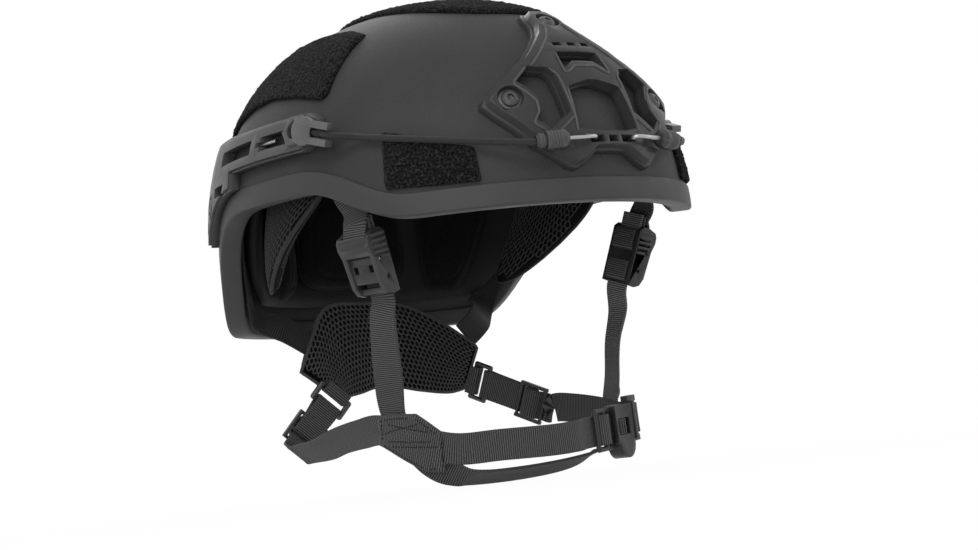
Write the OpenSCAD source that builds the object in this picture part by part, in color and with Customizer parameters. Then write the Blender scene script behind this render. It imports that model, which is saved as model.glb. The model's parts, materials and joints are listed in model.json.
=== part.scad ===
// Combat helmet with a skeletal front shroud, side rails, bungees and a chin and nape harness.
// Millimetres, as worn. The brow faces -Y, +Z is up and the wearer's right side is -X.
// The origin is on the mid plane, level with the front brim and between the temples.

/* [Shell] */
// Outside width of the shell at its widest
shell_w = 244; // [232:1:256]
// Outside length from the ear line forward to the brow
brow_l = 139.7; // [134:0.1:146]
// Outside length from the ear line back to the nape
nape_l = 136.9; // [131:0.1:143]
// Height of the crown above the front brim
crown_h = 125.4; // [120:0.1:132]
// How far the crown sits behind the ear line
crown_back = 9.2; // [4:0.1:14]
// Wall thickness of the laminated shell
shell_t = 8.5; // [7:0.1:10]
// Height of the ear cut above the front brim
ear_h = 21; // [16:0.5:26]
// Depth of the nape edge below the front brim
nape_d = 38.5; // [32:0.5:42]

/* [Edge trim] */
// Height of the rubber trim band up the outside of the shell
trim_band = 10.5; // [8:0.5:13]
// Thickness of the rubber trim
trim_t = 1.1; // [0.8:0.1:1.6]

/* [Loop patches] */
// Thickness of the hook and loop patches
patch_t = 2.4; // [1.6:0.1:3.2]

/* [Front shroud] */
// Height of the shroud's face above the shell
shroud_h = 7.5; // [6:0.1:9]
// Height of the shroud's low skirt above the shell
skirt_h = 3.6; // [2.8:0.1:4.4]
// Inset from each step of the shroud's edge to the next
shroud_step = 1.3; // [0.8:0.1:1.8]
// Radius of the shroud and rail screw shanks
screw_r = 2.5; // [2.3:0.1:2.7]
// Outer radius of the washers
washer_r = 6; // [5.4:0.1:6.6]

/* [Side rails] */
// Depth of the rail arm from its back to its face
rail_t = 6.5; // [5:0.1:8]
// Gap between the rail's back and the shell
rail_gap = 0.4; // [0.3:0.1:0.8]
// Height of the rail's upper arm
rail_arm = 20.5; // [18:0.5:23]
// Height of the accessory windows in the arm
rail_slot = 7.6; // [6:0.1:9]

/* [Bungees] */
// Diameter of the elastic cord
bungee_d = 3.4; // [2.8:0.1:3.6]
// Diameter of the ribbed pull grip
grip_d = 9.5; // [8.5:0.1:10.5]
// Length of the ribbed pull grip
grip_l = 17; // [14:0.5:20]

/* [Harness] */
// Width of the webbing
web_w = 16; // [14:0.5:20]
// Thickness of the webbing
web_t = 1.5; // [1.2:0.1:1.8]
// Thickness of the padded mesh nape piece
nape_t = 7; // [5:0.5:9]

/* [Liner] */
// Thickness of the impact liner
liner_t = 9; // [7:0.5:11]
// Thickness of the comfort pads
pad_t = 14; // [11:0.5:17]

/* [Hidden] */

half_w = shell_w / 2;
wide_z = -6.7;
dome_h = crown_h - wide_z;
side_pow = 2.23;
brow_pow = 2.34;
nape_pow = 2.41;
low_flare = 0.029;
seat = 0.3;
inner = -shell_t;
liner_gap = 4.6;
liner_off = inner - liner_gap;
pad_off = liner_off - liner_t;
pad_gap = 1.2;
half_web = web_t / 2;
shroud_bolt_a = 20;
crown_k = crown_h / 125.4;
shroud_bolt_z = 49.4 * crown_k;
shroud_top_z = 92 * crown_k;
rail_bolts = [[71.5, 50], [118, 28]];
rail_top = rail_gap + rail_t;

function clamp01(t) = max(0, min(1, t));
function unit(v) = v / norm(v);
function ease(t) = let (s = clamp01(t)) s * s * (3 - 2 * s);
function drop(t) = ease(pow(clamp01(t), 1.4));
function spread(a, b, n) = [for (i = [0 : n - 1]) a + (b - a) * i / n];

// The skin: angle 0 at the brow, 90 at the wearer's right, z above the brim, off along the wall.
function dome_pow(a) =
    side_pow * pow(sin(a), 2) + (cos(a) > 0 ? brow_pow : nape_pow) * pow(cos(a), 2);
function plan_r(a, off) =
    let (l = (cos(a) > 0 ? brow_l : nape_l) + off)
    1 / sqrt(pow(sin(a) / (half_w + off), 2) + pow(cos(a) / l, 2));
function rise(a, z, off) =
    z < wide_z ? 1 + low_flare * pow((wide_z - z) / 60, 2)
    : pow(max(0, 1 - pow((z - wide_z) / (dome_h + off), dome_pow(a))), 1 / dome_pow(a));
function skin(a, z, off) =
    let (r = plan_r(a, off) * rise(a, z, off), up = max(0, (z - wide_z) / (dome_h + off)))
    [-sin(a) * r, -cos(a) * r + crown_back * up * up, z];
function skin_out(a, z, off) =
    unit(cross(skin(a, z + 0.5, off) - skin(a, z - 0.5, off),
               skin(a + 0.5, z, off) - skin(a - 0.5, z, off)));

// The rim: level brim, raised ear cut, then down to the nape.
ear_front = 45;
ear_ramp = 27;
ear_rear = 98;
nape_ramp = 42;
function rim_raw(a) =
    ear_h * ease((a - ear_front) / ear_ramp)
    - (ear_h + nape_d) * drop((a - ear_rear) / nape_ramp);
function rim(phi) =
    let (a = phi > 180 ? 360 - phi : phi)
    (rim_raw(a - 4) + rim_raw(a - 2) + rim_raw(a) + rim_raw(a + 2) + rim_raw(a + 4)) / 5;
function mm_per_deg(a) = plan_r(a, 0) * PI / 180;
function rim_in(a) =
    let (d = unit([4 * mm_per_deg(a), rim(a + 2) - rim(a - 2)]))
    [-d.y / mm_per_deg(a), d.x];
function above_rim(a, w, off) =
    let (n = rim_in(a))
    skin(a + w * n.x, rim(a) + w * n.y, off);

half_turn = concat(spread(0, 44, 7), spread(44, 72, 7), spread(72, 96, 4),
                   spread(96, 141, 12), spread(141, 180, 6));
whole_turn = concat(half_turn, [180],
                    [for (i = [len(half_turn) - 1 : -1 : 1]) 360 - half_turn[i]]);

// Places a child on the skin: +X forward on the right side, +Y up, +Z outward.
module on_skin(a, z, off) {
    p = skin(a, z, off);
    n = skin_out(a, z, off);
    t = unit(skin(a - 0.5, z, off) - skin(a + 0.5, z, off));
    b = cross(n, t);
    multmatrix([[t.x, b.x, n.x, p.x], [t.y, b.y, n.y, p.y], [t.z, b.z, n.z, p.z], [0, 0, 0, 1]])
        children();
}

module left_side() {
    mirror([1, 0, 0]) children();
}

// Skins a stack of rings, each counter clockwise seen from the far end.
module loft(rings, loop = false) {
    k = len(rings[0]);
    n = len(rings);
    last = loop ? n - 1 : n - 2;
    sides = [for (i = [0 : last]) for (j = [0 : k - 1])
        let (a = i * k + j, b = i * k + (j + 1) % k,
             c = ((i + 1) % n) * k + (j + 1) % k, d = ((i + 1) % n) * k + j)
        each [[a, c, b], [a, d, c]]];
    caps = loop ? [] : [for (j = [1 : k - 2])
        each [[0, j, j + 1], [(n - 1) * k, (n - 1) * k + j + 1, (n - 1) * k + j]]];
    polyhedron([for (r = rings) each r], concat(sides, caps), convexity = 8);
}

// A closed bowl between two distances from the skin, from the given edge up to the crown.
function level(a, k, rows, edge_up, off) =
    let (low = rim(a) + edge_up, top = wide_z + dome_h + off)
    low + (top - low) * sin(90 * pow(k / rows, 1.08));
module bowl(turn, rows, outer, inner, edge_up, first = 0) {
    m = len(turn);
    n = rows - first;
    function face_pts(off) = concat(
        [for (k = [first : rows - 1]) for (a = turn) skin(a, level(a, k, rows, edge_up, off), off)],
        [skin(0, wide_z + dome_h + off, off)]);
    inner_at = n * m + 1;
    outer_faces = [for (k = [0 : n - 2]) for (j = [0 : m - 1])
        let (a = k * m + j, b = k * m + (j + 1) % m, c = b + m, d = a + m)
        each [[a, b, c], [a, c, d]]];
    outer_top = [for (j = [0 : m - 1]) [(n - 1) * m + j, (n - 1) * m + (j + 1) % m, n * m]];
    shell_faces = concat(outer_faces, outer_top);
    inner_faces = [for (f = shell_faces) [f[0] + inner_at, f[2] + inner_at, f[1] + inner_at]];
    edge = [for (j = [0 : m - 1])
        let (b = (j + 1) % m)
        each [[b, j, j + inner_at], [b, j + inner_at, b + inner_at]]];
    polyhedron(concat(face_pts(outer), face_pts(inner)),
               concat(shell_faces, inner_faces, edge), convexity = 8);
}

// A four cornered pad on the skin with round corners. Corners are [angle, z] pairs:
// front low, rear low, rear high, front high. The arch lifts the middle of both long edges.
module skin_pad(corners, lo, hi, arch = 0, soft = 0.5, rows = 4, segs = 28, round_pow = 7) {
    function spot(u, v) =
        let (p = corners[0] * (1 - u) * (1 - v) + corners[1] * u * (1 - v)
                + corners[2] * u * v + corners[3] * (1 - u) * v)
        [p.x, p.y + arch * 4 * u * (1 - u)];
    function around(a, s) =
        let (c = cos(a), d = sin(a),
             x = sign(c) * pow(abs(c), 2 / round_pow), y = sign(d) * pow(abs(d), 2 / round_pow))
        spot((1 + s * x) / 2, (1 + s * y) / 2);
    function layer(s, off) =
        [for (i = [0 : segs - 1]) let (p = around(360 * i / segs + 360 / segs / 2, s)) skin(p.x, p.y, off)];
    mid = spot(0.5, 0.5);
    steps = [for (i = [1 : rows]) i / rows];
    tops = [for (s = steps) layer(s == 1 ? 0.985 : s, hi - (s == 1 ? soft : 0))];
    bottoms = [for (s = steps) layer(s, lo)];
    pts = concat([skin(mid.x, mid.y, hi)], [for (r = tops) each r],
                 [skin(mid.x, mid.y, lo)], [for (r = bottoms) each r]);
    under = 1 + rows * segs;
    fan = [for (i = [0 : segs - 1]) [0, 1 + i, 1 + (i + 1) % segs]];
    bands = [for (k = [0 : rows - 2]) for (i = [0 : segs - 1])
        let (a = 1 + k * segs + i, b = 1 + k * segs + (i + 1) % segs)
        each [[a, a + segs, b + segs], [a, b + segs, b]]];
    top_faces = concat(fan, bands);
    low_faces = [for (f = top_faces) [f[0] + under, f[2] + under, f[1] + under]];
    rim_at = 1 + (rows - 1) * segs;
    wall = [for (i = [0 : segs - 1])
        let (a = rim_at + i, b = rim_at + (i + 1) % segs)
        each [[a, a + under, b + under], [a, b + under, b]]];
    polyhedron(pts, concat(top_faces, low_faces, wall), convexity = 6);
}

// A layer that follows the shell's own facets, between two angles and two rows.
module shell_layer(a0, a1, k0, k1, lo, hi) {
    cols = [for (a = whole_turn) if (a >= a0 && a <= a1) a];
    na = len(cols) - 1;
    rings = [for (k = [k0 : k1])
        concat([for (a = cols) skin(a, level(a, k, 12, 0, lo), lo)],
               [for (i = [na : -1 : 0]) skin(cols[i], level(cols[i], k, 12, 0, hi), hi)])];
    banded(rings, na, k1 - k0);
}

// A band of the skin between two angles, two heights and two distances.
module skin_slab(a0, a1, na, z0, z1, nz, lo, hi) {
    rings = [for (k = [0 : nz]) let (z = z0 + (z1 - z0) * k / nz)
        concat([for (i = [0 : na]) skin(a0 + (a1 - a0) * i / na, z, lo)],
               [for (i = [na : -1 : 0]) skin(a0 + (a1 - a0) * i / na, z, hi)])];
    banded(rings, na, nz);
}

module banded(rings, na, nz) {
    k = 2 * (na + 1);
    sides = [for (i = [0 : nz - 1]) for (j = [0 : k - 1])
        let (a = i * k + j, b = i * k + (j + 1) % k, c = b + k, d = a + k)
        each [[a, c, b], [a, d, c]]];
    caps = [for (j = [0 : na - 1])
        let (t = nz * k, a = j, b = j + 1, c = k - 2 - j, d = k - 1 - j)
        each [[a, b, c], [a, c, d], [a + t, c + t, b + t], [a + t, d + t, c + t]]];
    polyhedron([for (r = rings) each r], concat(sides, caps), convexity = 8);
}

// Smooth curve through hand chosen stations.
function bend(p0, p1, p2, p3, t) =
    0.5 * (2 * p1 + (p2 - p0) * t + (2 * p0 - 5 * p1 + 4 * p2 - p3) * t * t
           + (3 * p1 - p0 - 3 * p2 + p3) * t * t * t);
function smooth(pts, n) =
    let (m = len(pts))
    concat([for (i = [0 : m - 2]) for (s = [0 : n - 1])
        bend(pts[max(0, i - 1)], pts[i], pts[i + 1], pts[min(m - 1, i + 2)], s / n)], [pts[m - 1]]);

function heading(pts, i) =
    unit(pts[min(len(pts) - 1, i + 1)] - pts[max(0, i - 1)]);

// Flat webbing along stations of [x, y, z] with the width direction at each station.
module ribbon(path, sides, w, t, n = 3, from = 0, to = 0) {
    pts = smooth(path, n);
    dirs = smooth(sides, n);
    rings = [for (i = [from : to > 0 ? to : len(pts) - 1])
        let (h = heading(pts, i), raw = dirs[i] - (dirs[i] * h) * h,
             u = unit(raw) * w / 2, v = unit(cross(h, raw)) * t / 2)
        [pts[i] - u - v, pts[i] + u - v, pts[i] + u + v, pts[i] - u + v]];
    loft(rings);
}

// Round tube along stations.
module tube(path, r, n = 3, segs = 8) {
    pts = smooth(path, n);
    rings = [for (i = [0 : len(pts) - 1])
        let (h = heading(pts, i),
             u = unit(cross(h, abs(h.z) > 0.9 ? [1, 0, 0] : [0, 0, 1])), v = cross(h, u))
        [for (j = [0 : segs - 1])
            pts[i] + r * (cos(360 * j / segs) * u + sin(360 * j / segs) * v)]];
    loft(rings);
}

// A turned and moved working frame: origin, then the three axes it is built from.
function square(o, along, up) =
    let (x = unit(along), z = unit(cross(x, up)), y = cross(z, x))
    [o, x, y, z];
function at(f, p) = f[0] + p.x * f[1] + p.y * f[2] + p.z * f[3];
module in_frame(f) {
    multmatrix([[f[1].x, f[2].x, f[3].x, f[0].x], [f[1].y, f[2].y, f[3].y, f[0].y],
                [f[1].z, f[2].z, f[3].z, f[0].z], [0, 0, 0, 1]])
        children();
}

// A soft pad between a line of top points and a line of bottom points.
module padding(tops, bottoms, t, n = 2, segs = 14) {
    a = smooth(tops, n);
    b = smooth(bottoms, n);
    mids = (a + b) / 2;
    last = len(a) - 1;
    rings = [for (i = [0 : last])
        let (e = heading(mids, i), up = (a[i] - b[i]) / 2, side = unit(cross(e, up)) * t / 2,
             full = i == 0 || i == last ? 0.55 : 1)
        [for (j = [0 : segs - 1])
            let (c = cos(360 * j / segs), d = sin(360 * j / segs))
            mids[i] + up * sign(c) * pow(abs(c), 0.45) + side * full * sign(d) * pow(abs(d), 0.75)]];
    loft(rings);
}

// A rectangular ring of round wire: two bars across the webbing and two arms.
module wire_frame(half_x, y0, y1, r) {
    for (y = [y0, y1]) translate([-half_x, y, 0]) rotate([0, 90, 0])
        cylinder(r = r, h = 2 * half_x, $fn = 16);
    for (x = [-half_x, half_x]) {
        translate([x, y0, 0]) rotate([-90, 0, 0]) cylinder(r = r, h = y1 - y0, $fn = 16);
        for (y = [y0, y1]) translate([x, y, 0]) sphere(r = r, $fn = 16);
    }
}

module shroud_bolt_places() {
    on_skin(shroud_bolt_a, shroud_bolt_z, 0) children();
    on_skin(360 - shroud_bolt_a, shroud_bolt_z, 0) children();
    on_skin(0, shroud_top_z, 0) children();
}

module rail_bolt_places() {
    for (b = rail_bolts) on_skin(b.x, b.y, 0) children();
}

module both_sides() {
    children();
    left_side() children();
}

module shell() {
    color("#3c3d3f") difference() {
        bowl(whole_turn, 12, 0, inner, 0);
        shroud_bolt_places() bolt_hole();
        both_sides() rail_bolt_places() bolt_hole();
    }
}

module bolt_hole() {
    translate([0, 0, inner - 4]) cylinder(r = screw_r + 0.3, h = shell_t + 8, $fn = 24);
}

module edge_trim() {
    lip = trim_t + seat;
    profile = [[-seat, seat], [-seat, inner - seat], [trim_band - 2, inner - seat],
               [trim_band - 2.8, inner - lip], [-lip + 0.8, inner - lip], [-lip, inner - lip + 1],
               [-lip, lip - 1], [-lip + 0.8, lip], [trim_band - 0.8, lip], [trim_band, seat]];
    rings = [for (a = whole_turn) [for (p = profile) above_rim(a, p.x, p.y)]];
    color("#3a3b3d") loft(rings, loop = true);
}

// Side view of everything within a height above the rim, to keep other pieces off the trim.
module near_rim(w, off) {
    edge = [for (a = [40 : 3 : 133]) let (p = above_rim(a, w, off)) [p.y, p.z]];
    polygon(concat(edge, [[110, -80], [-110, -80]]));
}

// Hook discs that hold the liner off the shell.
disc_places = [[0, 62], [40, 78], [320, 78], [90, 78], [270, 78], [142, 70], [218, 70], [180, 40],
               [180, 92]];
module shell_discs() {
    color("#2c2d2f") for (d = disc_places)
        on_skin(d.x, d.y, inner) translate([0, 0, -liner_gap + 0.2])
            cylinder(r = 10, h = liner_gap - 1.4, $fn = 32);
}

module impact_liner() {
    turn = [for (i = [0 : 39]) 9 * i];
    color("#232426") bowl(turn, 7, liner_off, pad_off, 15);
}

module front_pad() {
    color("#303133") skin_pad([[-24, 16], [24, 16], [22, 58], [-22, 58]], pad_off - pad_t, pad_off - pad_gap,
                              rows = 3, segs = 24, round_pow = 4);
}

module crown_pad() {
    top = crown_h + pad_off - seat;
    rings = [for (k = [0 : 4]) let (s = [0.9, 1, 1, 1, 0.86][k], z = top - pad_t + pad_t * k / 4 - 0.6)
        [for (j = [0 : 27]) let (x = 44 * s * cos(360 * j / 28), y = 52 * s * sin(360 * j / 28))
            [x, crown_back + y, z - (x * x + y * y) / 215]]];
    color("#303133") loft(rings);
}

module side_pads() {
    color("#303133") both_sides()
        skin_pad([[72, 26], [136, -30], [113, 42], [84, 62]], pad_off - pad_t + 2, pad_off - pad_gap,
                 rows = 3, segs = 24, round_pow = 4);
}

module rear_pads() {
    color("#303133") {
        both_sides()
            skin_pad([[143, -22], [155, -20], [154, 44], [126, 46]], pad_off - pad_t + 1, pad_off - pad_gap,
                     rows = 3, segs = 24, round_pow = 4);
        skin_pad([[160, -14], [200, -14], [198, 40], [162, 40]], pad_off - pad_t + 1, pad_off - pad_gap,
                 rows = 3, segs = 24, round_pow = 4);
    }
}

// Loop patches lie on the shell's facets, so each is a layer of the shell cut to its outline.
patch_top = seat + patch_t;
module crown_patch() {
    oval = [for (j = [0 : 47]) let (c = cos(7.5 * j), d = sin(7.5 * j))
        [43 * sign(c) * pow(abs(c), 0.8), -8.5 + 68.5 * sign(d) * pow(abs(d), 0.8)] * brow_l / 139.7];
    color("#242527") intersection() {
        bowl(whole_turn, 12, patch_top, seat, 0, 7);
        translate([0, 0, 80]) linear_extrude(height = 80) polygon(oval);
    }
}

module temple_patch() {
    turn = 39;
    corners = [[28.6, 11.8], [39, 12.4], [49.4, 13.9], [49.4, 43.5], [39, 36.6], [29.2, 29]];
    flat = [for (q = corners) let (v = skin(q.x, q.y, 1)) [v.x * cos(turn) - v.y * sin(turn), v.z]];
    color("#242527") intersection() {
        shell_layer(19, 60, 0, 6, seat, patch_top);
        rotate([90, 0, -turn]) translate([0, 0, 60]) linear_extrude(height = 90)
            offset(r = 1.5) offset(delta = -1.5) polygon(flat);
    }
}
module temple_patches() {
    temple_patch();
    left_side() temple_patch();
}

module rear_patch() {
    corners = [[66, 66.8], [77.5, 72.7], [91, 76.6], [104, 76.3], [121, 72], [135, 66], [127, 106.5],
               [110, 110.5], [90, 111.5], [68, 108.7], [58, 103]];
    flat = [for (q = corners) let (v = skin(q.x, q.y, 1)) [v.y, v.z]];
    color("#242527") intersection() {
        shell_layer(38, 150, 4, 11, seat, patch_top);
        side_extrude(20) offset(r = 3) offset(delta = -3) polygon(flat);
    }
}
module rear_patches() {
    rear_patch();
    left_side() rear_patch();
}

// Front shroud. Outlines are half outlines as [x, z] on the shell, seen square on to the brow.
shroud_tilt = 22;
function brow_y(x, z, off) =
    let (a = atan2(abs(x), brow_l), k = rise(a, z, off), q = min(0.99, abs(x) / ((half_w + off) * k)),
         up = max(0, (z - wide_z) / (dome_h + off)))
    -sqrt(1 - q * q) * (brow_l + off) * k + crown_back * up * up;
function on_brow(x, z, off) = [x, brow_y(x, z * crown_k, off), z * crown_k];
function flat_v(x, z, off) =
    let (p = on_brow(x, z, off))
    p.y * sin(shroud_tilt) + p.z * cos(shroud_tilt);
function flat_pts(pts, off) = [for (p = pts) [p.x, flat_v(p.x, p.y, off)]];
function both(pts) = concat(pts, [for (i = [len(pts) - 1 : -1 : 0]) [-pts[i].x, pts[i].y]]);
shroud_outer = [[6, 101.8], [8.8, 97.5], [9.9, 92.7], [14.5, 86.5], [20.8, 80.8], [30.1, 72.5], [44.4, 61.9],
                [56, 51.8], [58, 48], [54.5, 42.4], [40.9, 26.3], [26, 14.5], [22, 13.4], [16.6, 16.2],
                [9.4, 21.7]];
side_window = [[40.7, 59.1], [32.8, 66], [23.6, 64.9], [21.3, 62], [21, 41.7], [32.5, 33.2], [38, 38],
               [34.5, 43], [34, 50], [37.5, 55.5]];
low_window = [[15.5, 54.5], [3, 58], [-3, 58], [-15.5, 54.5], [-17.8, 33], [-9, 31.6], [9, 31.6],
              [17.8, 33]];
high_window = [[12, 74], [13, 66], [7, 70], [-7, 70], [-13, 66], [-12, 74]];
module brow_extrude(h0, h1) {
    s = sin(shroud_tilt);
    c = cos(shroud_tilt);
    multmatrix([[1, 0, 0, 0], [0, s, -c, 0], [0, c, s, 0], [0, 0, 0, 1]])
        translate([0, 0, h0]) linear_extrude(height = h1 - h0) children();
}
module shroud_plate(inset) {
    difference() {
        offset(delta = -inset) polygon(flat_pts(both(shroud_outer), 1));
        offset(delta = inset * 0.6) polygon(flat_pts(side_window, 3));
        mirror([1, 0]) offset(delta = inset * 0.6) polygon(flat_pts(side_window, 3));
        offset(delta = inset * 0.6) polygon(flat_pts(low_window, 3));
        offset(delta = inset * 0.6) polygon(flat_pts(high_window, 3));
        for (x = [-9.8, 9.8]) translate([x, flat_v(9.8, 27.2, 4)]) square([8.4, 3.8], center = true);
        translate([0, flat_v(0, 27.2, 4)]) square([5.6, 3.4], center = true);
        for (x = [-9, 0, 9]) translate([x, flat_v(x, 80, 4)]) square([5, 2.6], center = true);
        for (m = [-1, 1]) translate([m * 50.6, flat_v(50.6, 47, 2)]) square([3.2, 8], center = true);
    }
}
module shroud_layer(inset, lo, hi) {
    intersection() {
        brow_extrude(60, 185) shroud_plate(inset);
        skin_slab(-30, 30, 12, 8, 108 * crown_k, 10, lo, hi);
    }
}
module front_shroud() {
    color("#37383a") difference() {
        union() {
            shroud_layer(0, seat, skirt_h);
            shroud_layer(shroud_step, skirt_h - 0.4, shroud_h);
            shroud_bolt_places() translate([0, 0, 1.2]) cylinder(r = washer_r + 2, h = 4.4, $fn = 24);
        }
        shroud_bolt_places() {
            translate([0, 0, -3]) cylinder(r = screw_r + 0.2, h = 14, $fn = 24);
            translate([0, 0, 4.6]) cylinder(r = washer_r + 0.5, h = 10, $fn = 24);
        }
        both_sides() grip_clearance();
    }
}
module grip_clearance() {
    translate(grip_from - 4 * grip_dir) in_frame([[0, 0, 0], grip_side, grip_up, grip_dir])
        cylinder(r = grip_d / 2 + 1.2, h = grip_l + 9, $fn = 24);
}
module shroud_washers() {
    color("#4c4d4f") shroud_bolt_places() translate([0, 0, 4.65]) difference() {
        cylinder(r = washer_r, h = 1, $fn = 32);
        translate([0, 0, -1]) cylinder(r = screw_r + 0.2, h = 3, $fn = 24);
    }
}
module button_screw(under, length) {
    difference() {
        union() {
            translate([0, 0, under]) cylinder(r = 4.6, h = 0.9, $fn = 32);
            translate([0, 0, under + 0.9]) cylinder(r1 = 4.6, r2 = 3, h = 1.4, $fn = 32);
            translate([0, 0, under - length]) cylinder(r = screw_r, h = length, $fn = 24);
        }
        translate([0, 0, under + 0.7]) cylinder(r = 1.75, h = 3, $fn = 6);
    }
}
module shroud_screws() {
    color("#505153") shroud_bolt_places() button_screw(5.7, 5.7 + shell_t + 3);
}
module tee_nut(top) {
    translate([0, 0, inner + top]) difference() {
        union() {
            translate([0, 0, -1.2]) cylinder(r = 7, h = 1.2, $fn = 32);
            translate([0, 0, -2.1]) cylinder(r = 4.2, h = 1.2, $fn = 24);
        }
        translate([0, 0, -5]) cylinder(r = screw_r + 0.05, h = 8, $fn = 24);
    }
}
module shroud_nuts() {
    color("#5a5b5d") shroud_bolt_places() tee_nut(-1.3);
}

// Side rails, drawn for the wearer's right as [y, z] side outlines.
rail_outline = [[-45, 43.5], [-45, 57], [-40, 60.5], [14, 61], [40, 62.5], [60, 63], [69, 60], [73, 52],
                [78, 14], [74, 8], [38, 4], [27, 10], [22, 26], [24, 61 - rail_arm], [-41, 61 - rail_arm]];
module side_extrude(from = 70) {
    multmatrix([[0, 0, -1, 0], [1, 0, 0, 0], [0, 1, 0, 0], [0, 0, 0, 1]])
        translate([0, 0, from]) linear_extrude(height = 150 - from) children();
}
module rail_plate(inset) {
    window_z = 46.6 + rail_slot / 2;
    difference() {
        offset(delta = -inset) polygon(rail_outline);
        translate([-18.5, window_z]) square([24, rail_slot], center = true);
        translate([21, window_z]) square([38, rail_slot], center = true);
        polygon([[34, 31], [33, 36.5], [49, 36.5], [48, 31]]);
        polygon([[66.5, 15], [65, 21], [73, 21], [74, 15]]);
        offset(delta = inset) near_rim(trim_band + 0.5, rail_gap);
    }
}
module rail() {
    difference() {
        union() {
            intersection() {
                side_extrude() rail_plate(0);
                skin_slab(62, 124, 12, 1, 66, 8, rail_gap, rail_top - 1.6);
            }
            intersection() {
                side_extrude() rail_plate(1.4);
                skin_slab(62, 124, 12, 1, 66, 8, rail_top - 2, rail_top);
            }
            on_skin(71.5, 50, 1.4) cylinder(r = 9.2, h = rail_t + 0.6, $fn = 6);
            on_skin(118, 28, 1.4) cylinder(r = 7.5, h = rail_t - 0.9, $fn = 32);
        }
        rail_bolt_places() {
            translate([0, 0, -3]) cylinder(r = screw_r + 0.2, h = 16, $fn = 24);
            translate([0, 0, rail_top - 2.2]) cylinder(r = 5.4, h = 8, $fn = 24);
        }
        side_extrude() translate([-7.6, 46.6 + rail_slot / 2]) square([9, 2.6], center = true);
    }
}
module rail_right() {
    color("#333436") rail();
}
module rail_left() {
    color("#333436") left_side() rail();
}
module rail_screws() {
    under = rail_top - 2.15;
    color("#505153") both_sides() rail_bolt_places() button_screw(under, under + shell_t + 4.2);
}
module rail_nuts() {
    color("#5a5b5d") both_sides() rail_bolt_places() tee_nut(-2.4);
}
module strap_anchors() {
    color("#48494b") both_sides() difference() {
        union() {
            intersection() {
                shell_layer(56, 84, 0, 8, inner - seat - 1, inner - seat);
                side_extrude() polygon([[-52, 23], [-38, 23], [-29, 46], [-30, 57], [-42, 57], [-46, 50]]);
            }
            intersection() {
                shell_layer(105, 133, 0, 8, inner - seat - 1, inner - seat);
                side_extrude() polygon([[50, 14], [78, 2], [80, 14], [72, 28], [60, 35], [50, 35]]);
            }
        }
        rail_bolt_places() bolt_hole();
        side_extrude() near_rim(trim_band - 1.5, inner);
    }
}

// The fork at the front of each rail holds the knotted end of the bungee.
fork_from = skin(68.23, 50.4, 12.44);
fork_dir = unit([0.26, -0.92, -0.30]);
fork = square(fork_from, fork_dir, [0, 0, 1]);
module fork_end() {
    in_frame(fork) difference() {
        union() {
            translate([-2, -6, -2.5]) cube([22, 12, 5.5]);
            translate([4, 0, -2.5]) cylinder(r = 7.4, h = 5.5, $fn = 32);
        }
        translate([6, 0, 0.2]) rotate([0, 90, 0]) cylinder(r = bungee_d / 2 + 0.6, h = 20, $fn = 20);
        translate([9, -2.4, -4]) cube([14, 4.8, 12]);
    }
}
module rail_forks() {
    color("#3a3b3d") both_sides() fork_end();
}
module rail_rods() {
    color("#9a9b9d") both_sides() on_skin(84, 50.4, rail_gap + 3.2)
        translate([-6.5, 0, 0]) rotate([0, 90, 0]) cylinder(r = 1.1, h = 13, $fn = 20);
}

// Bungees, with a grip and a hooked rod at the front end.
cord_off = patch_top + 0.4 + bungee_d / 2;
grip_from = on_brow(-45.8, 27.5, 11.83);
grip_to = on_brow(-31.1, 28.1, 11.84);
grip_dir = unit(grip_to - grip_from);
grip_side = unit(cross([0, 0, 1], grip_dir));
grip_up = cross(grip_dir, grip_side);
module bungee() {
    tube([at(fork, [9, 0, 0.2]), at(fork, [15, 0, 0.2]), at(fork, [20, 0, 0.2]), skin(55, 42.5, cord_off),
          skin(47, 38.8, cord_off), skin(38, 35, cord_off), skin(30, 31.8, cord_off + 0.2),
          skin(24.5, 29.4, 8.4),
          grip_from - 3 * grip_dir, grip_from + 2 * grip_dir, grip_from + 7 * grip_dir],
         bungee_d / 2, n = 2, segs = 8);
}
module bungee_right() {
    color("#1f2022") bungee();
}
module bungee_left() {
    color("#1f2022") left_side() bungee();
}
module grip() {
    in_frame([grip_from, grip_side, grip_up, grip_dir]) difference() {
        union() {
            cylinder(r1 = grip_d / 2 - 1.9, r2 = grip_d / 2 - 0.9, h = 1.2, $fn = 24);
            translate([0, 0, 1.1]) cylinder(r = grip_d / 2 - 0.9, h = 3.2, $fn = 24);
            translate([0, 0, 4.2]) cylinder(r = grip_d / 2 - 1.7, h = 1, $fn = 24);
            translate([0, 0, 5.1]) cylinder(r = grip_d / 2, h = grip_l - 6.8, $fn = 24);
            translate([0, 0, grip_l - 1.8])
                cylinder(r1 = grip_d / 2, r2 = grip_d / 2 - 1.5, h = 1.8, $fn = 24);
        }
        translate([0, 0, -1]) cylinder(r = bungee_d / 2 + 0.4, h = 9, $fn = 20);
        translate([0, 0, 10]) cylinder(r = 1.1 + 0.1, h = 10, $fn = 20);
    }
}
module grip_right() {
    color("#2a2b2d") grip();
}
module grip_left() {
    color("#2a2b2d") left_side() grip();
}
module hook() {
    tube([grip_from + 10.5 * grip_dir, grip_from + (grip_l + 3) * grip_dir, on_brow(-22, 28.3, 12.22),
          on_brow(-16, 28.8, 11.65), on_brow(-13, 28.9, 10.15), on_brow(-12.2, 28.3, 7.45),
          on_brow(-12.2, 26.8, 2.93)],
         1.1, n = 2, segs = 8);
}
module hook_right() {
    color("#8e9092") hook();
}
module hook_left() {
    color("#8e9092") left_side() hook();
}

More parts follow.
